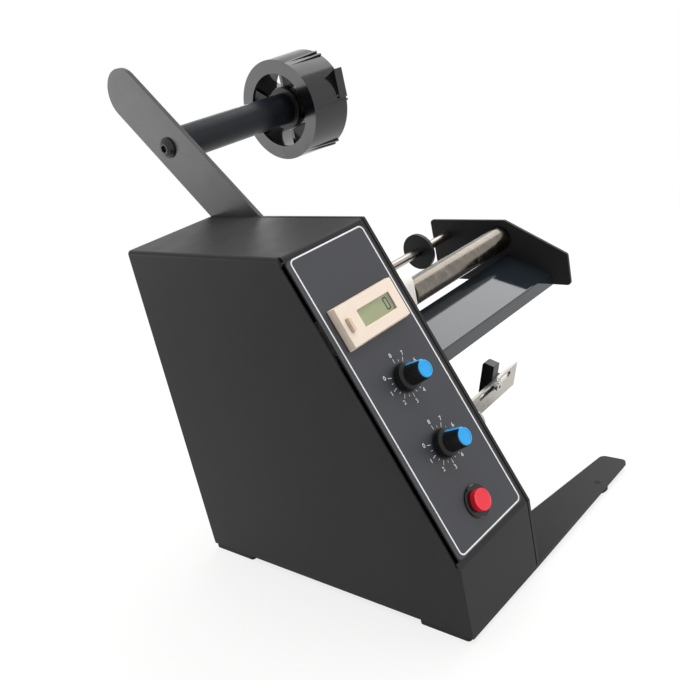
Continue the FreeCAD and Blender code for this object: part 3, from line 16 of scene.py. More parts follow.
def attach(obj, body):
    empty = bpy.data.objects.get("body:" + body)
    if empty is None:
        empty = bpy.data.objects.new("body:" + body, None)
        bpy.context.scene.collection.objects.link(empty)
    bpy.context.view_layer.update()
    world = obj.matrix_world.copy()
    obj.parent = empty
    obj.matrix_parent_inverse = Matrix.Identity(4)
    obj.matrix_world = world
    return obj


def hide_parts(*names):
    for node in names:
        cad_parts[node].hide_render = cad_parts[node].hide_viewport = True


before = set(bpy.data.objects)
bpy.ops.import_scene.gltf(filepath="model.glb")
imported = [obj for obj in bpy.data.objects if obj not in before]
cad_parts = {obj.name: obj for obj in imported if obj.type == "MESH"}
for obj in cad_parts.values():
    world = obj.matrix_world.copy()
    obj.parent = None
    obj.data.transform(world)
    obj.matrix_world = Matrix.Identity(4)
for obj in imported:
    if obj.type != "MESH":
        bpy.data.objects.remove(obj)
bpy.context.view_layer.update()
MM = 0.001
log = logging.getLogger("label_dispenser")

Corner = tuple[float, float, float]


def linear(colour: str, alpha: float = 1.0) -> tuple[float, float, float, float]:
    """Turns an sRGB hex value into linear light.

    Args:
        colour: Six hex digits after a hash.
        alpha: The fourth value.

    Returns:
        Red, green, blue and alpha.
    """
    parts = []
    for start in (1, 3, 5):
        value = int(colour[start:start + 2], 16) / 255
        parts.append(value / 12.92 if value <= 0.04045 else ((value + 0.055) / 1.055) ** 2.4)
    return parts[0], parts[1], parts[2], alpha


def add(tree: bpy.types.NodeTree, kind: str, inputs: Mapping[Any, Any] | None = None, **settings: Any) -> bpy.types.Node:
    """Adds a shader node.

    Args:
        tree: The node tree.
        kind: The node's type without its prefix.
        inputs: Input name or number to a plain value, or to the socket that feeds it.
        settings: Options of the node.

    Returns:
        The node.
    """
    node = tree.nodes.new("ShaderNode" + kind)
    for option, value in settings.items():
        setattr(node, option, value)
    for name, value in (inputs or {}).items():
        if isinstance(value, bpy.types.NodeSocket):
            tree.links.new(value, node.inputs[name])
        else:
            node.inputs[name].default_value = value
    return node


class Lay(Enum):
    """Which way the fine marks of a surface run, as how often they change per millimetre."""

    EVEN = (1.0, 1.0, 1.0)
    ROUND_X = (1.0, 0.03, 0.03)
    ALONG_X = (0.03, 1.0, 1.0)


@dataclass(frozen=True)
class Finish:
    """A surface: what it is made of and how it was made.

    The grain is the real size of the texture, or the smallest that shows.
    """

    title: str
    colour: str
    roughness: float
    grain_mm: float
    relief_mm: float
    metallic: float = 0.0
    ior: float = 1.5
    gloss: float = 0.5
    coat: float = 0.0
    coat_roughness: float = 0.05
    clear: float = 0.0
    glow_through: float = 0.0
    worn: str = ""
    edge_mm: float = 0.0
    drift_mm: float = 14.0
    drift: float = 0.06
    tint: float = 0.08
    lay: Lay = Lay.EVEN

    def material(self) -> bpy.types.Material:
        """Builds the material, or hands out the one built before."""
        known = bpy.data.materials.get(self.title)
        if known:
            return known
        made = bpy.data.materials.new(self.title)
        made.use_nodes = True
        tree = made.node_tree
        tree.nodes.clear()
        place = add(tree, "TexCoord").outputs["Object"]
        stretched = add(tree, "Mapping", {"Vector": place, "Scale": self.lay.value}).outputs["Vector"]
        grain = add(tree, "TexNoise", {"Vector": stretched, "Scale": 1 / (self.grain_mm * MM), "Detail": 3.0,
                                       "Roughness": 0.6}).outputs["Fac"]
        drift = add(tree, "TexNoise", {"Vector": place, "Scale": 1 / (self.drift_mm * MM), "Detail": 2.0}).outputs["Fac"]
        shader = add(tree, "BsdfPrincipled", {
            "Metallic": self.metallic,
            "IOR": self.ior,
            "Specular IOR Level": self.gloss,
            "Coat Weight": self.coat,
            "Coat Roughness": self.coat_roughness,
            "Transmission Weight": self.clear,
            "Base Color": self.colours(tree, grain, drift),
            "Roughness": self.spread(tree, grain, drift),
            "Normal": self.bumps(tree, grain),
        })
        if self.glow_through:
            shader.inputs["Subsurface Weight"].default_value = self.glow_through
            shader.inputs["Subsurface Scale"].default_value = 1.5 * MM
        add(tree, "OutputMaterial", {"Surface": shader.outputs[0]})
        return made

    def colours(self, tree: bpy.types.NodeTree, grain: bpy.types.NodeSocket, drift: bpy.types.NodeSocket) -> bpy.types.NodeSocket:
        """The colour with its slow drift, its grain and its paler edges.

        Args:
            tree: The node tree.
            grain: The fine pattern.
            drift: The slow pattern.

        Returns:
            The socket that carries the colour.
        """
        both = add(tree, "Math", {0: grain, 1: drift}, operation="ADD").outputs[0]
        share = add(tree, "MapRange", {"Value": both, "From Min": 0.6, "From Max": 1.4, "To Min": 1 - self.tint,
                                       "To Max": 1 + self.tint}).outputs[0]
        base = add(tree, "RGB").outputs[0]
        base.default_value = linear(self.colour)
        tone = add(tree, "VectorMath", {0: base, "Scale": share}, operation="SCALE").outputs[0]
        if not self.worn:
            return tone
        rounded = add(tree, "Bevel", {"Radius": self.edge_mm * MM}, samples=4).outputs[0]
        flat = add(tree, "NewGeometry").outputs["Normal"]
        match = add(tree, "VectorMath", {0: rounded, 1: flat}, operation="DOT_PRODUCT").outputs["Value"]
        edge = add(tree, "MapRange", {"Value": match, "From Min": 0.98, "From Max": 0.8, "To Min": 0.0,
                                      "To Max": 0.7}).outputs[0]
        worn = add(tree, "Math", {0: edge, 1: drift}, operation="MULTIPLY").outputs[0]
        mixed = add(tree, "Mix", data_type="RGBA")
        tree.links.new(worn, mixed.inputs[0])
        tree.links.new(tone, mixed.inputs[6])
        mixed.inputs[7].default_value = linear(self.worn)
        return mixed.outputs[2]

    def spread(self, tree: bpy.types.NodeTree, grain: bpy.types.NodeSocket, drift: bpy.types.NodeSocket) -> bpy.types.NodeSocket:
        """Roughness that wanders with the slow pattern, as handling and dust leave it."""
        both = add(tree, "Math", {0: grain, 1: drift}, operation="ADD").outputs[0]
        return add(tree, "MapRange", {"Value": both, "From Min": 0.6, "From Max": 1.4,
                                      "To Min": max(self.roughness - self.drift, 0.0),
                                      "To Max": self.roughness + self.drift}).outputs[0]

    def bumps(self, tree: bpy.types.NodeTree, grain: bpy.types.NodeSocket) -> bpy.types.NodeSocket:
        """Relief of the grain, at its real height."""
        return add(tree, "Bump", {"Height": grain, "Strength": 1.0, "Distance": self.relief_mm * MM}).outputs["Normal"]


@dataclass(frozen=True)
class Laminate(Finish):
    """Glass-fibre board: green lacquer over copper tracks that show as paler lines."""

    track: str = "#3F8A55"
    pitch_mm: float = 2.54

    def colours(self, tree: bpy.types.NodeTree, grain: bpy.types.NodeSocket, drift: bpy.types.NodeSocket) -> bpy.types.NodeSocket:
        """Lacquer with tracks on the usual pitch."""
        place = add(tree, "TexCoord").outputs["Object"]
        lines = add(tree, "TexBrick", {"Vector": place, "Scale": 1 / (self.pitch_mm * 4 * MM), "Mortar Size": 0.03,
                                       "Color1": linear(self.colour), "Color2": linear(self.colour),
                                       "Mortar": linear(self.track)}).outputs["Color"]
        return add(tree, "MixRGB", {"Fac": grain, "Color1": lines, "Color2": linear(self.colour)}).outputs[0]


# Powder coat, sprayed and baked: a fine even orange peel, soft highlights, edges that catch the light.
# Its real peel is about 0.4 mm; it is drawn at 0.9 mm, which is what shows at this distance.
POWDER = Finish("black_powder_coat_satin", "#2C2C2D", 0.4, 0.9, 0.01, gloss=0.1, worn="#5C5B5A", edge_mm=0.5, tint=0.1)
# The arm has the same coat, flatter and with more sheen, so it goes grey where it mirrors a pale wall.
ARM_COAT = Finish("black_powder_coat_sheen", "#323232", 0.3, 1.2, 0.006, gloss=0.5, worn="#777675", edge_mm=0.5)
# Printed polyester film: a blue-grey back print seen through a finely matted face.
FILM = Finish("printed_polyester_film", "#333439", 0.42, 0.5, 0.004, gloss=0.4, tint=0.05)
# Screen ink: opaque pale grey, a little raised and chalky.
INK = Finish("screen_printed_ink", "#DADADC", 0.5, 0.6, 0.003, gloss=0.3, tint=0.05)
# Rubber, compression moulded: dull, slightly dusty black.
RUBBER = Finish("black_rubber_moulded", "#1B1B1B", 0.72, 0.7, 0.02, gloss=0.3)
# The nip roller's rubber is ground to size, which leaves rings round it.
GROUND_RUBBER = Finish("black_rubber_ground", "#242322", 0.6, 0.5, 0.02, gloss=0.35, lay=Lay.ROUND_X)
# ABS, injection moulded with a spark-eroded texture: warm cream, soft gloss.
CREAM = Finish("cream_abs_textured", "#E2D2C2", 0.48, 0.5, 0.008, gloss=0.4, tint=0.03)
KEY = Finish("key_abs_smooth", "#CDB9A4", 0.35, 0.6, 0.004, tint=0.04)
# Reflective display: a grey-green polariser behind glass.
DISPLAY = Finish("display_polariser_green", "#A2AA78", 0.35, 0.4, 0.001, gloss=0.3, tint=0.05)
SEGMENT = Finish("display_segment_dark", "#15190F", 0.4, 0.5, 0.001)
# Acrylic pane, cast: clear with faint smears.
PANE = Finish("clear_acrylic_cast", "#FFFFFF", 0.05, 3.0, 0.001, ior=1.49, clear=1.0, drift=0.03, tint=0.0)
# Zinc-plated steel, tumbled: bright with a bluish cast and fine dulling.
ZINC = Finish("zinc_plated_steel", "#BDBCBA", 0.26, 0.5, 0.004, metallic=1.0)
BLACK_BOLT = Finish("black_oxide_steel", "#1E1F21", 0.38, 0.5, 0.006, gloss=0.4)
# Knob body: ABS with a matt mould texture.
KNOB = Finish("black_abs_matt", "#0F0F10", 0.4, 0.4, 0.006, gloss=0.3, tint=0.1)
# Bezel: the same plastic from a polished mould, so its ring catches a thin highlight.
BEZEL = Finish("black_abs_polished", "#0B0C0D", 0.2, 0.8, 0.002, gloss=0.45, tint=0.1)
BLUE = Finish("blue_abs_inlay", "#1C9CE0", 0.32, 0.4, 0.003, gloss=0.45, tint=0.04)
# Button cap: translucent polycarbonate that glows a little where light enters.
RED = Finish("red_polycarbonate_translucent", "#E01830", 0.2, 0.8, 0.002, gloss=0.6, glow_through=0.05, tint=0.04)
# Turned steel: fine rings round the rod that stretch the highlight along it.
TURNED = Finish("turned_steel", "#ABA59D", 0.24, 0.35, 0.004, metallic=1.0, drift=0.05, lay=Lay.ROUND_X)
GROUND = Finish("ground_steel_roller", "#7A736B", 0.2, 0.9, 0.006, metallic=1.0, drift=0.12, drift_mm=5.0, tint=0.3)
# Anodised tube, satin black with a bluish cast.
ANODISED = Finish("black_anodised_aluminium", "#0F1319", 0.32, 0.6, 0.004, gloss=0.22, tint=0.1, lay=Lay.ROUND_X)
# Hub: polished mould, glossy black with soft flow marks.
HUB = Finish("black_styrene_glossy", "#101013", 0.12, 9.0, 0.006, gloss=0.5, coat=0.05, drift=0.05)
# Stove enamel on the peel plate: deep gloss that mirrors its surroundings.
ENAMEL = Finish("gloss_enamel_blue_black", "#1C2228", 0.08, 7.0, 0.004, gloss=0.5, coat=0.45, coat_roughness=0.03,
                drift=0.03, worn="#7A838A", edge_mm=0.4)
# Nylon, turned from bar: waxy off-white.
NYLON = Finish("white_nylon_turned", "#E6E3DC", 0.4, 0.6, 0.006, glow_through=0.15, tint=0.03)
BRASS = Finish("brass_machined", "#C9A661", 0.26, 0.5, 0.004, metallic=1.0)
BOARD = Laminate("glass_epoxy_laminate", "#1E5B36", 0.35, 0.8, 0.004)
PARTS = Finish("component_epoxy", "#1C2430", 0.4, 0.5, 0.006)
DISC = Finish("black_nylon_moulded", "#18181A", 0.45, 0.5, 0.006, gloss=0.4)
# Stainless strip, brushed along its length: short streaks that smear the highlight across.
BRUSHED = Finish("brushed_stainless_strip", "#B4AFA9", 0.3, 0.35, 0.006, metallic=1.0, drift=0.08, lay=Lay.ALONG_X)
SENSOR = Finish("black_polycarbonate_fine", "#16181D", 0.3, 0.4, 0.005, gloss=0.5, worn="#3C414C", edge_mm=0.4)

NODE_FINISHES: dict[Finish, tuple[str, ...]] = {
    POWDER: ("cover", "side_plate", "base_plate", "back_panel", "end_plate"),
    ARM_COAT: ("supply_arm",),
    FILM: ("panel_overlay",),
    RUBBER: ("foot_pads", "outrigger_foot", "lead_grommet"),
    GROUND_RUBBER: ("rubber_sleeve",),
    CREAM: ("counter_housing",),
    KEY: ("reset_key",),
    DISPLAY: ("counter_display",),
    PANE: ("counter_window",),
    ZINC: ("counter_bracket", "knob_nuts", "switch_nut", "head_screws", "inner_screws", "standoffs", "motor_plate",
           "pivot_screw", "sensor_screw", "knob_controls", "hub_clip", "motor_shaft", "gear_motor"),
    BLACK_BOLT: ("arm_bolts", "spindle_bolt", "base_screws", "guide_set_screw"),
    KNOB: ("length_knob", "speed_knob"),
    BEZEL: ("switch_body",),
    BLUE: ("length_knob_cap", "speed_knob_cap"),
    RED: ("button_cap",),
    TURNED: ("guide_rod", "drive_roller", "length_shaft", "speed_shaft"),
    GROUND: ("steel_roller",),
    ANODISED: ("spindle",),
    HUB: ("supply_hub",),
    ENAMEL: ("peel_plate",),
    NYLON: ("roller_block", "end_bearings", "drive_bush"),
    BRASS: ("steel_gear", "nip_gear", "drive_gear", "motor_pinion"),
    BOARD: ("controller_board",),
    PARTS: ("board_components", "power_inlet"),
    DISC: ("guide_disc", "hub_bush"),
    BRUSHED: ("sensor_bracket",),
    SENSOR: ("sensor_body",),
}


def clear_selection() -> None:
    """Leaves object mode with nothing selected."""
    if bpy.context.object and bpy.context.object.mode != "OBJECT":
        bpy.ops.object.mode_set(mode="OBJECT")
    bpy.ops.object.select_all(action="DESELECT")


def take(piece: bpy.types.Object) -> None:
    """Makes one object the only one selected."""
    clear_selection()
    piece.select_set(True)
    bpy.context.view_layer.objects.active = piece


def pick_faces(piece: bpy.types.Object, wanted: Callable[[Vector, Vector], bool]) -> None:
    """Goes into edit mode with some faces selected.

    Args:
        piece: The object.
        wanted: Tells from a face's middle and normal whether it is selected.
    """
    take(piece)
    bpy.ops.object.mode_set(mode="EDIT")
    bpy.ops.mesh.select_mode(type="FACE")
    bpy.ops.mesh.select_all(action="DESELECT")
    mesh = bmesh.from_edit_mesh(piece.data)
    for face in mesh.faces:
        face.select_set(wanted(face.calc_center_median(), face.normal))
    bmesh.update_edit_mesh(piece.data)


def pick_all(piece: bpy.types.Object) -> None:
    """Goes into edit mode with the whole mesh selected."""
    take(piece)
    bpy.ops.object.mode_set(mode="EDIT")
    bpy.ops.mesh.select_all(action="SELECT")


def block(name: str, middle: Corner, size: Corner) -> bpy.types.Object:
    """Starts a piece as a box.

    Args:
        name: The piece's name.
        middle: Its middle, in millimetres.
        size: Its three sizes, in millimetres.

    Returns:
        The object, at the origin, with its place in its mesh.
    """
    clear_selection()
    bpy.ops.mesh.primitive_cube_add(size=MM, location=Vector(middle) * MM, scale=size)
    piece = bpy.context.object
    piece.name = piece.data.name = name
    settle(piece)
    return piece


def settle(piece: bpy.types.Object, where: Matrix | None = None) -> None:
    """Moves a piece to a frame and puts its place into its mesh."""
    take(piece)
    if where is not None:
        piece.matrix_world = where @ piece.matrix_world
    bpy.context.view_layer.update()
    bpy.ops.object.transform_apply(location=True, rotation=True, scale=True)


def soft_edges(piece: bpy.types.Object, width_mm: float, segments: int = 2, angle: float = 35.0) -> None:
    """Rounds the edges as a press, a mould or a deburring wheel leaves them."""
    take(piece)
    bevel = piece.modifiers.new("edges", "BEVEL")
    bevel.width = width_mm * MM
    bevel.segments = segments
    bevel.limit_method = "ANGLE"
    bevel.angle_limit = math.radians(angle)
    bpy.ops.object.modifier_apply(modifier=bevel.name)
    level_normals(piece)


def level_normals(piece: bpy.types.Object) -> None:
    """Shades curved faces smooth and keeps flat ones flat, by weighing each normal with its face's area."""
    take(piece)
    bpy.ops.object.shade_smooth_by_angle(angle=math.radians(40))
    weigh = piece.modifiers.new("normals", "WEIGHTED_NORMAL")
    weigh.keep_sharp = True
    weigh.weight = 100
    bpy.ops.object.modifier_apply(modifier=weigh.name)


def turned(name: str, profile: Sequence[tuple[float, float]], sides: int = 64) -> bpy.types.Object:
    """Turns a closed form about the upright axis.

    Args:
        name: The piece's name.
        profile: Radius and height of each ring in millimetres, from the closed foot to the closed top.
        sides: How many faces go round.

    Returns:
        The object, at the origin.
    """
    clear_selection()
    radius, height = profile[0]
    bpy.ops.mesh.primitive_circle_add(vertices=sides, radius=radius * MM, fill_type="NGON", location=(0, 0, height * MM))
    piece = bpy.context.object
    piece.name = piece.data.name = name
    settle(piece)
    pick_all(piece)
    for wide, high in profile[1:]:
        bpy.ops.mesh.extrude_region_move(TRANSFORM_OT_translate={"value": (0, 0, (high - height) * MM)})
        bpy.ops.transform.resize(value=(wide / radius, wide / radius, 1), center_override=(0, 0, 0))
        radius, height = wide, high
    bpy.ops.mesh.select_all(action="SELECT")
    bpy.ops.mesh.normals_make_consistent(inside=False)
    clear_selection()
    return piece


def joined(pieces: list[bpy.types.Object], name: str) -> bpy.types.Object:
    """Joins pieces into one mesh with a new name."""
    take(pieces[0])
    for piece in pieces:
        piece.select_set(True)
    if len(pieces) > 1:
        bpy.ops.object.join()
    pieces[0].name = pieces[0].data.name = name
    return pieces[0]


def copy_of(piece: bpy.types.Object, name: str, where: Matrix) -> bpy.types.Object:
    """A copy with its own mesh, moved by a matrix."""
    twin = bpy.data.objects.new(name, piece.data.copy())
    twin.data.name = name
    bpy.context.scene.collection.objects.link(twin)
    twin.data.transform(where)
    return twin


def wear(piece: bpy.types.Object, finish: Finish, body: str) -> None:
    """Gives a new piece its finish and its body.

    Args:
        piece: The piece.
        finish: Its surface.
        body: The body that it moves with.
    """
    piece.data.materials.clear()
    piece.data.materials.append(finish.material())
    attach(piece, body)
    log.info("%s rides on %s in %s", piece.name, body, finish.title)


def merged_copy(node: str, name: str) -> bpy.types.Object:
    """A copy of a node with its triangles merged into whole faces.

    Args:
        node: The node.
        name: The copy's name.

    Returns:
        The copy.
    """
    piece = copy_of(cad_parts[node], name, Matrix.Identity(4))
    pick_all(piece)
    bpy.ops.mesh.remove_doubles(threshold=0.002 * MM)
    bpy.ops.mesh.dissolve_limited(angle_limit=math.radians(0.5))
    clear_selection()
    return piece


def long_edges(piece: bpy.types.Object, along: Vector, wanted: Callable[[Vector], bool]) -> None:
    """Goes into edit mode with the convex edges of one direction selected.

    Args:
        piece: The object.
        along: The direction.
        wanted: Tells from an edge's middle whether it is selected.
    """
    take(piece)
    bpy.ops.object.mode_set(mode="EDIT")
    bpy.ops.mesh.select_mode(type="EDGE")
    bpy.ops.mesh.select_all(action="DESELECT")
    mesh = bmesh.from_edit_mesh(piece.data)
    for edge in mesh.edges:
        ends = edge.verts[1].co - edge.verts[0].co
        straight = abs(ends.normalized().dot(along)) > 0.99
        sharp = len(edge.link_faces) == 2 and edge.calc_face_angle_signed() > math.radians(40)
        edge.select_set(straight and sharp and wanted((edge.verts[0].co + edge.verts[1].co) / 2))
    bmesh.update_edit_mesh(piece.data)


def rounded_copy(node: str, name: str, width_mm: float, finish: Finish, body: str, slot: str) -> bpy.types.Object:
    """Makes a piece with soft edges from a node whose edges are sharp, and stands it for that node.

    Args:
        node: The node.
        name: The new piece's name.
        width_mm: How wide the rounding is.
        finish: Its surface.
        body: The body that it moves with.
        slot: The record's material slot; not used.

    Returns:
        The piece.
    """
    piece = merged_copy(node, name)
    soft_edges(piece, width_mm)
    wear(piece, finish, body)
    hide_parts(node)
    return piece


@dataclass
class PanelPlane:
    """The sloping panel's own axes: across, up the slope and out of it."""

    front_mm: float = -141.2534
    left_mm: float = -103.0
    low_mm: float = 48.0
    run_mm: float = 79.0
    rise_mm: float = 163.0

    def at(self, across_mm: float, up_mm: float, out_mm: float = 0.0) -> Matrix:
        """The matrix of a place on the panel."""
        long = math.hypot(self.run_mm, self.rise_mm)
        tilt = Matrix.Rotation(math.atan2(self.rise_mm, self.run_mm), 4, "X")
        start = Matrix.Translation(Vector((self.left_mm, self.front_mm, self.low_mm)) * MM)
        log.debug("the slope is %.1f mm long", long)
        return start @ tilt @ Matrix.Translation(Vector((across_mm, up_mm, out_mm)) * MM)


@dataclass
class PanelPrint:
    """The pale line round the panel and the two dials, printed on the film."""

    plane: PanelPlane
    film_mm: float = 0.3
    ink_mm: float = 0.06
    line_mm: float = 0.85
    corner_mm: float = 3.2
    left_mm: float = 4.7
    right_mm: float = 63.0
    low_mm: float = 4.0
    high_mm: float = 178.0
    column_mm: float = 33.3
    dial_places_mm: tuple[float, float] = (95.9, 55.6)
    first_degrees: float = 156.0
    step_degrees: float = 37.3
    numbers: int = 9
    digit_mm: float = 2.5
    digit_radius_mm: float = 13.8
    tick_start_mm: float = 9.0
    tick_end_mm: float = 11.6
    mark_end_mm: float = 10.2
    tick_width_mm: float = 0.32

    def border(self) -> bpy.types.Object:
        """A rounded frame: a plane with rounded corners, inset, its middle removed, and raised."""
        clear_selection()
        width, height = self.right_mm - self.left_mm, self.high_mm - self.low_mm
        middle = ((self.left_mm + self.right_mm) / 2 * MM, (self.low_mm + self.high_mm) / 2 * MM, 0)
        bpy.ops.mesh.primitive_plane_add(size=MM, location=middle)
        piece = bpy.context.object
        piece.scale = (width, height, 1)
        settle(piece)
        pick_all(piece)
        bpy.ops.mesh.bevel(offset=self.corner_mm * MM, segments=8, affect="VERTICES")
        bpy.ops.mesh.select_all(action="SELECT")
        bpy.ops.mesh.inset(thickness=self.line_mm * MM)
        bpy.ops.mesh.delete(type="FACE")
        bpy.ops.mesh.select_all(action="SELECT")
        bpy.ops.mesh.extrude_region_move(TRANSFORM_OT_translate={"value": (0, 0, self.ink_mm * MM)})
        bpy.ops.mesh.select_all(action="SELECT")
        bpy.ops.mesh.normals_make_consistent(inside=False)
        clear_selection()
        return joined([piece], "panel_border")

    def tick(self, degrees: float, end_mm: float) -> bpy.types.Object:
        """One radial mark with rounded corners."""
        length = end_mm - self.tick_start_mm
        mark = block("tick", (self.tick_start_mm + length / 2, 0, self.ink_mm / 2), (length, self.tick_width_mm, self.ink_mm))
        pick_all(mark)
        bpy.ops.mesh.bevel(offset=self.ink_mm * MM / 3, segments=1)
        settle(mark, Matrix.Rotation(math.radians(degrees), 4, "Z"))
        return mark

    def digit(self, number: int, degrees: float) -> bpy.types.Object:
        """One upright numeral beside its mark."""
        clear_selection()
        bpy.ops.object.text_add()
        text = bpy.context.object
        text.data.body = str(number)
        text.data.size = self.digit_mm * MM * 1.42
        text.data.align_x, text.data.align_y = "CENTER", "CENTER"
        text.data.extrude = self.ink_mm * MM / 2
        text.data.resolution_u = 4
        turn = math.radians(degrees)
        text.location = (self.digit_radius_mm * MM * math.cos(turn), self.digit_radius_mm * MM * math.sin(turn), self.ink_mm * MM / 2)
        bpy.ops.object.convert(target="MESH")
        settle(text)
        return text

    def dial(self) -> bpy.types.Object:
        """Marks and numerals round one knob."""
        marks = []
        for number in range(self.numbers):
            degrees = self.first_degrees + self.step_degrees * number
            marks.append(self.tick(degrees, self.tick_end_mm))
            marks.append(self.digit(number, degrees))
            if number < self.numbers - 1:
                marks.append(self.tick(degrees + self.step_degrees / 2, self.mark_end_mm))
        dial = joined(marks, "dial")
        pick_all(dial)
        bpy.ops.mesh.remove_doubles(threshold=0.0005 * MM)
        clear_selection()
        return dial

    def build(self) -> None:
        """Makes the print and sets it on the film."""
        lift = self.film_mm + 0.005
        border = self.border()
        settle(border, self.plane.at(0, 0, lift))
        wear(border, INK, "body")
        dial = self.dial()
        for name, up in zip(("length_dial_print", "speed_dial_print"), self.dial_places_mm):
            print_piece = copy_of(dial, name, self.plane.at(self.column_mm, up, lift))
            wear(print_piece, INK, "body")
        bpy.data.objects.remove(dial)


@dataclass
class PointerKnobs:
    """The two knobs: skirt, tapering grip with ribs, and a blue pointer that runs up to a round inlay."""

    plane: PanelPlane
    column_mm: float = 33.3
    places_mm: tuple[float, float] = (95.9, 55.6)
    foot_mm: float = 1.1
    skirt_mm: float = 8.0
    skirt_top_mm: float = 5.4
    waist_up_mm: float = 6.5
    waist_mm: float = 5.9
    neck_mm: float = 5.05
    head_mm: float = 17.1
    inlay_mm: float = 4.75
    crown_mm: float = 0.5
    pointer_mm: float = 2.6
    proud_mm: float = 0.2
    ribs: int = 20
    rib_mm: float = 0.7
    rib_proud_mm: float = 0.16

    def grip_body(self) -> bpy.types.Object:
        """Skirt, chamfer and tapering grip as one moulding."""
        edge = 0.3
        body = turned("grip_body", (
            (self.skirt_mm - edge, self.foot_mm), (self.skirt_mm, self.foot_mm + edge),
            (self.skirt_mm - edge / 2, self.skirt_top_mm), (self.skirt_mm - 2 * edge, self.skirt_top_mm + edge),
            (self.waist_mm + edge, self.waist_up_mm - edge / 2), (self.waist_mm, self.waist_up_mm),
            (self.neck_mm, self.head_mm - edge), (self.neck_mm - edge / 2, self.head_mm),
            (self.inlay_mm + 0.05, self.head_mm), (self.inlay_mm + 0.05, self.head_mm - edge)))
        level_normals(body)
        return body

    def inlay(self) -> bpy.types.Object:
        """Round inlay: a low rim, then a shallow crown."""
        top = self.head_mm + self.crown_mm
        disc = turned("inlay", (
            (self.inlay_mm, self.head_mm - 0.3), (self.inlay_mm, self.head_mm + 0.1), (self.inlay_mm - 0.2, top - 0.12),
            (self.inlay_mm - 0.5, top), (self.inlay_mm - 0.9, top), (self.inlay_mm - 1.15, top - 0.3), (1.6, top - 0.25)))
        level_normals(disc)
        return disc

    def flank(self, width: float, proud: float, high: float) -> bpy.types.Object:
        """A bar that lies on the tapering side, over the +Y flank.

        Args:
            width: Across the flank.
            proud: How far it stands out.
            high: Where it ends.

        Returns:
            The bar.
        """
        deep = proud + 0.6
        lean = (self.waist_mm - self.neck_mm) * (high - self.waist_up_mm) / (self.head_mm - self.waist_up_mm)
        bar = block("bar", (0, self.waist_mm + proud - deep / 2, (self.waist_up_mm + high) / 2),
                    (width, deep, high - self.waist_up_mm))
        pick_faces(bar, lambda middle, normal: normal.z > 0.9)
        bpy.ops.transform.translate(value=(0, -lean * MM, 0))
        return bar

    def pointer(self) -> bpy.types.Object:
        """The pointer: a bar up the side that turns over the rim and meets the inlay."""
        bar = self.flank(self.pointer_mm, self.proud_mm, self.head_mm)
        top = self.head_mm + self.crown_mm - 0.1
        bpy.ops.mesh.extrude_region_move(TRANSFORM_OT_translate={"value": (0, -0.4 * MM, (top - self.head_mm) * MM)})
        rim = (self.head_mm + 0.05) * MM
        pick_faces(bar, lambda middle, normal: middle.z > rim and normal.y < -0.5)
        bpy.ops.mesh.extrude_region_move(TRANSFORM_OT_translate={"value": (0, -2.0 * MM, 0)})
        bpy.ops.transform.resize(value=(1.9, 1, 1))
        pick_all(bar)
        bpy.ops.mesh.normals_make_consistent(inside=False)
        clear_selection()
        soft_edges(bar, 0.2, 3)
        return bar

    def ribbing(self) -> bpy.types.Object:
        """Ribs round the side: one is shaped and copied, and the pointer's place is left free."""
        rib = self.flank(self.rib_mm, self.rib_proud_mm, self.head_mm - 0.6)
        clear_selection()
        soft_edges(rib, 0.15, 1)
        rings = []
        for number in range(self.ribs):
            degrees = 360 / self.ribs * number
            if 17 < degrees < 343:
                rings.append(copy_of(rib, "rib", Matrix.Rotation(math.radians(degrees), 4, "Z")))
        bpy.data.objects.remove(rib)
        return joined(rings, "ribbing")

    def build(self) -> None:
        """Makes both knobs and stands them for their nodes."""
        grip = joined([self.grip_body(), self.ribbing()], "grip")
        blue = joined([self.inlay(), self.pointer()], "blue")
        for name, up in zip(("length", "speed"), self.places_mm):
            place = self.plane.at(self.column_mm, up)
            black = copy_of(grip, f"{name}_knob_grip", place)
            wear(black, KNOB, f"{name}_knob")
            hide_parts(f"{name}_knob")
            inlay = copy_of(blue, f"{name}_knob_inlay", place)
            wear(inlay, BLUE, f"{name}_knob")
            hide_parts(f"{name}_knob_cap")
        bpy.data.objects.remove(grip)
        bpy.data.objects.remove(blue)


@dataclass
class PowerButton:
    """The button's cap, with a crisp flat top and a fine rim."""

    plane: PanelPlane
    column_mm: float = 33.3
    place_mm: float = 20.5
    radius_mm: float = 6.0
    foot_mm: float = 0.4
    top_mm: float = 5.3
    rim_mm: float = 0.55

    def build(self) -> None:
        """Makes the cap and stands it for its node."""
        edge = 0.25
        cap = turned("button_cap_moulded", (
            (self.radius_mm, self.foot_mm), (self.radius_mm, self.top_mm - edge), (self.radius_mm - edge * 0.3, self.top_mm - edge * 0.3),
            (self.radius_mm - edge, self.top_mm), (self.radius_mm - edge - self.rim_mm, self.top_mm),
            (self.radius_mm - edge - self.rim_mm - 0.15, self.top_mm - 0.12), (2.0, self.top_mm - 0.06)))
        level_normals(cap)
        settle(cap, self.plane.at(self.column_mm, self.place_mm))
        wear(cap, RED, "power_button")
        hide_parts("button_cap")


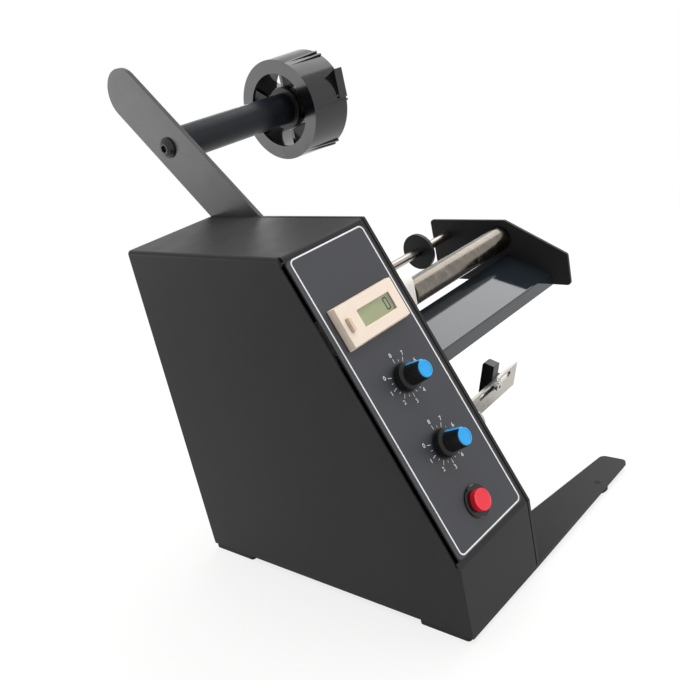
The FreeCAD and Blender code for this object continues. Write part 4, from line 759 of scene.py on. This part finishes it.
@dataclass
class CounterFace:
    """The counter: moulded housing with soft edges, and the numeral on its display."""

    plane: PanelPlane
    column_mm: float = 33.3
    place_mm: float = 134.3
    face_mm: float = 5.3
    recess_mm: float = 2.4
    digit_across_mm: float = 13.2
    digit_width_mm: float = 3.6
    digit_height_mm: float = 7.4
    bar_mm: float = 1.0

    def numeral(self) -> bpy.types.Object:
        """A seven-bar nought: each bar is shaped once and copied to its places."""
        reach = (self.digit_height_mm - self.bar_mm) / 4
        upright = block("bar", (0, 0, 0), (self.bar_mm, 2 * reach - 0.3, 0.05))
        pick_faces(upright, lambda middle, normal: abs(normal.y) > 0.9)
        bpy.ops.mesh.extrude_region_move(TRANSFORM_OT_translate={"value": (0, 0, 0)})
        bpy.ops.transform.resize(value=(0.3, 1.12, 1))
        clear_selection()
        bars = []
        side = (self.digit_width_mm - self.bar_mm) / 2
        for across, up in ((-side, reach), (side, reach), (-side, -reach), (side, -reach)):
            bars.append(copy_of(upright, "bar", Matrix.Translation(Vector((across, up, 0)) * MM)))
        flat = Matrix.Rotation(math.radians(90), 4, "Z") @ Matrix.Diagonal((1, side / reach, 1, 1))
        for up in (-2 * reach, 2 * reach):
            bars.append(copy_of(upright, "bar", Matrix.Translation(Vector((0, up, 0)) * MM) @ flat))
        bpy.data.objects.remove(upright)
        return joined(bars, "display_numeral")

    def build(self) -> None:
        """Makes the housing's rounded form and the numeral."""
        rounded_copy("counter_housing", "counter_housing_moulded", 0.45, CREAM, "body", "cream_plastic")
        rounded_copy("reset_key", "reset_key_moulded", 0.3, KEY, "reset_key", "key_plastic")
        numeral = self.numeral()
        settle(numeral, self.plane.at(self.column_mm + self.digit_across_mm, self.place_mm, self.face_mm - self.recess_mm + 0.03))
        wear(numeral, SEGMENT, "body")


@dataclass
class SoftEdged:
    """Plates, mouldings and bent sheet whose edges are broken as on the real ones."""

    plates: tuple[tuple[str, str, float, Finish, str, str], ...] = (
        ("end_plate", "end_plate_deburred", 0.3, POWDER, "body", "black_powder_coat"),
        ("base_plate", "base_plate_deburred", 0.3, POWDER, "body", "black_powder_coat"),
        ("side_plate", "side_plate_deburred", 0.3, POWDER, "body", "black_powder_coat"),
        ("supply_arm", "supply_arm_deburred", 0.4, ARM_COAT, "body", "black_powder_coat"),
        ("peel_plate", "peel_plate_enamelled", 0.3, ENAMEL, "body", "gloss_enamel"),
        ("sensor_body", "sensor_body_moulded", 0.35, SENSOR, "sensor", "sensor_plastic"),
        ("sensor_bracket", "sensor_bracket_deburred", 0.2, BRUSHED, "sensor_bracket", "stainless_strip"),
        ("supply_hub", "supply_hub_moulded", 0.3, HUB, "supply_hub", "hub_plastic"),
        ("roller_block", "roller_block_machined", 0.4, NYLON, "body", "white_nylon"),
    )

    def build(self) -> None:
        """Makes each soft-edged piece."""
        for row in self.plates:
            rounded_copy(*row)


@dataclass
class FoldedCover:
    """The folded sheet: its open seam along the slope, and the folded corner above it."""

    plane: PanelPlane
    sheet_mm: float = 1.2
    seam_mm: float = 2.2
    top_mm: float = 211.0
    shoulder_mm: float = -62.2534
    bend_mm: float = 2.4
    relief_mm: float = 4.6
    setback_mm: float = 2.2

    def seam(self) -> bpy.types.Object:
        """What the seam takes off the slope's left edge."""
        long = math.hypot(self.plane.run_mm, self.plane.rise_mm)
        cutter = block("seam", (self.seam_mm / 2 - 1, long / 2, -0.2), (self.seam_mm + 2, long - 6.5, 2 * self.sheet_mm + 0.9))
        settle(cutter, self.plane.at(0, 0))
        return cutter

    def corner(self) -> bpy.types.Object:
        """The bend's end beside the relief: a rounded corner block, cut parallel to the slope."""
        left = self.plane.left_mm
        middle = (left + self.bend_mm / 2, self.shoulder_mm + self.relief_mm / 2 + 0.4, self.top_mm - self.relief_mm / 2)
        corner = block("cover_corner_fold", middle, (self.bend_mm, self.relief_mm + 0.8, self.relief_mm))
        pick_all(corner)
        slope = math.atan2(self.plane.rise_mm, self.plane.run_mm)
        across = Vector((0, -math.sin(slope), math.cos(slope)))
        start = Vector((left, self.shoulder_mm, self.top_mm)) * MM - across * self.setback_mm * MM
        bpy.ops.mesh.bisect(plane_co=start, plane_no=across, use_fill=True, clear_outer=True)
        long_edges(corner, Vector((0, 1, 0)), lambda middle: middle.x < (left + 0.1) * MM and middle.z > (self.top_mm - 0.1) * MM)
        bpy.ops.mesh.bevel(offset=(self.bend_mm - 0.05) * MM, segments=6)
        clear_selection()
        level_normals(corner)
        return corner

    def build(self) -> None:
        """Makes the cover with its seam and its corner."""
        cover = merged_copy("cover", "cover_folded")
        seam = self.seam()
        take(cover)
        cut = cover.modifiers.new("seam", "BOOLEAN")
        cut.operation, cut.object, cut.solver = "DIFFERENCE", seam, "EXACT"
        bpy.ops.object.modifier_apply(modifier=cut.name)
        bpy.data.objects.remove(seam)
        level_normals(cover)
        wear(cover, POWDER, "body")
        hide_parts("cover")
        wear(self.corner(), POWDER, "body")


@dataclass
class FootPads:
    """The four pads, which stand a little back from the nose."""

    front_mm: float = -140.9
    back_mm: float = 2.9

    def build(self) -> None:
        """Makes the pads with rounded corners."""
        pads = merged_copy("foot_pads", "foot_pads_moulded")
        limit = (self.front_mm + 0.4) * MM
        pick_faces(pads, lambda middle, normal: normal.y < -0.9 and middle.y < limit)
        bpy.ops.transform.translate(value=(0, self.back_mm * MM, 0))
        long_edges(pads, Vector((0, 0, 1)), lambda middle: True)
        bpy.ops.mesh.bevel(offset=2.0 * MM, segments=5)
        clear_selection()
        soft_edges(pads, 0.35)
        wear(pads, RUBBER, "body")
        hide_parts("foot_pads")


@dataclass
class Studio:
    """Pale floor, soft lamps, and the camera at the picture's angle."""

    eye: Corner = (-0.3945, -0.38842, 0.3279)
    right: Corner = (0.64104, -0.74007, -0.20337)
    down: Corner = (-0.3985, -0.09448, -0.91229)
    forward: Corner = (0.65594, 0.66586, -0.35549)
    lens_mm: float = 47.82
    floor_m: float = 14.0
    ambient: float = 0.36
    lamps: tuple[tuple[str, Corner, Corner, tuple[float, float], float], ...] = (
        ("ceiling", (1.0, 0.3, 1.9), (0.9, 0.3, 0.0), (3.2, 2.8), 78.0),
        ("back_left", (-0.84, 1.0, 0.2), (0.0, 0.05, 0.25), (1.1, 0.42), 3.1),
        ("front", (0.5, -1.9, 1.0), (0.0, 0.0, 0.1), (1.2, 1.2), 9.6),
        ("right", (1.45, 0.1, 1.1), (0.05, -0.06, 0.15), (1.1, 1.0), 6.5),
        ("strip", (0.98, 1.12, 0.5), (0.0, 0.0, 0.2), (0.09, 0.5), 0.5),
    )

    def camera(self) -> None:
        """Sets the camera from its measured axes."""
        data = bpy.data.cameras.new("camera")
        data.lens, data.sensor_width, data.sensor_fit = self.lens_mm, 36.0, "HORIZONTAL"
        data.clip_start, data.clip_end = 0.01, 60.0
        camera = bpy.data.objects.new("camera", data)
        bpy.context.scene.collection.objects.link(camera)
        up, back = -Vector(self.down), -Vector(self.forward)
        turn = Matrix((Vector(self.right), up, back)).transposed().to_4x4()
        camera.matrix_world = Matrix.Translation(Vector(self.eye)) @ turn
        bpy.context.scene.camera = camera

    def floor(self) -> None:
        """A pale floor that fades to white and keeps the shadow."""
        clear_selection()
        bpy.ops.mesh.primitive_plane_add(size=self.floor_m)
        floor = bpy.context.object
        floor.name = "floor"
        made = bpy.data.materials.new("pale_paper_floor")
        made.use_nodes = True
        tree = made.node_tree
        tree.nodes.clear()
        lit = add(tree, "BsdfDiffuse", {"Color": linear("#F4F3F1")}).outputs[0]
        glow = add(tree, "Emission", {"Color": (1, 1, 1, 1), "Strength": 1.0}).outputs[0]
        place = add(tree, "TexCoord").outputs["Object"]
        far = add(tree, "VectorMath", {0: place}, operation="LENGTH").outputs["Value"]
        fade = add(tree, "MapRange", {"Value": far, "From Min": 0.2, "From Max": 0.7, "To Min": 0.8, "To Max": 1.0}).outputs[0]
        share = add(tree, "Math", {0: fade, 1: self.seen(tree)}, operation="MULTIPLY").outputs[0]
        mixed = add(tree, "MixShader", {0: share, 1: lit, 2: glow}).outputs[0]
        add(tree, "OutputMaterial", {"Surface": mixed})
        floor.data.materials.append(made)

    def seen(self, tree: bpy.types.NodeTree) -> bpy.types.NodeSocket:
        """One where the background is seen, directly, in a gloss or through glass, and nought where it only lights."""
        ray = add(tree, "LightPath").outputs
        direct = add(tree, "Math", {0: ray["Is Camera Ray"], 1: ray["Is Transmission Ray"]}, operation="MAXIMUM").outputs[0]
        return add(tree, "Math", {0: direct, 1: ray["Is Glossy Ray"]}, operation="MAXIMUM").outputs[0]

    def world(self) -> None:
        """White behind the object, and a lower even light on it."""
        world = bpy.data.worlds.new("studio")
        bpy.context.scene.world = world
        world.use_nodes = True
        tree = world.node_tree
        tree.nodes.clear()
        level = add(tree, "MapRange", {"Value": self.seen(tree), "To Min": self.ambient, "To Max": 1.0}).outputs[0]
        glow = add(tree, "Background", {"Color": (1, 1, 1, 1), "Strength": level}).outputs[0]
        add(tree, "OutputWorld", {"Surface": glow})

    def lights(self) -> None:
        """Large soft lamps."""
        for name, place, target, size, power in self.lamps:
            data = bpy.data.lights.new(name, "AREA")
            data.shape, data.size, data.size_y, data.energy = "RECTANGLE", size[0], size[1], power
            lamp = bpy.data.objects.new(name, data)
            bpy.context.scene.collection.objects.link(lamp)
            aim = Vector(target) - Vector(place)
            lamp.matrix_world = Matrix.Translation(Vector(place)) @ aim.to_track_quat("-Z", "Y").to_matrix().to_4x4()
            lamp.visible_camera = False
            lamp.visible_glossy = name != "ceiling"

    def build(self) -> None:
        """Sets the stage."""
        self.camera()
        self.floor()
        self.world()
        self.lights()
        bpy.context.scene.view_settings.view_transform = "Standard"


@dataclass
class Dresser:
    """Gives every node that stays its finish."""

    finishes: Mapping[Finish, Iterable[str]] = field(default_factory=lambda: NODE_FINISHES)
    smooth_degrees: ClassVar[float] = 30.0

    def build(self) -> None:
        """Assigns the materials by node."""
        bare = set(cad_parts)
        for finish, names in self.finishes.items():
            for name in names:
                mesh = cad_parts[name].data
                mesh.materials.clear()
                mesh.materials.append(finish.material())
                bare.discard(name)
        for name in sorted(bare):
            log.warning("%s has no finish", name)


def main() -> None:
    """Builds everything in order."""
    logging.basicConfig(level=logging.INFO, format="%(name)s: %(message)s")
    plane = PanelPlane()
    for part in (Studio(), Dresser(), FoldedCover(plane), FootPads(), SoftEdged(), PanelPrint(plane),
                 PointerKnobs(plane), PowerButton(plane), CounterFace(plane)):
        part.build()
        log.info("%s is done", type(part).__name__)
    clear_selection()


if __name__ == "__main__":
    main()
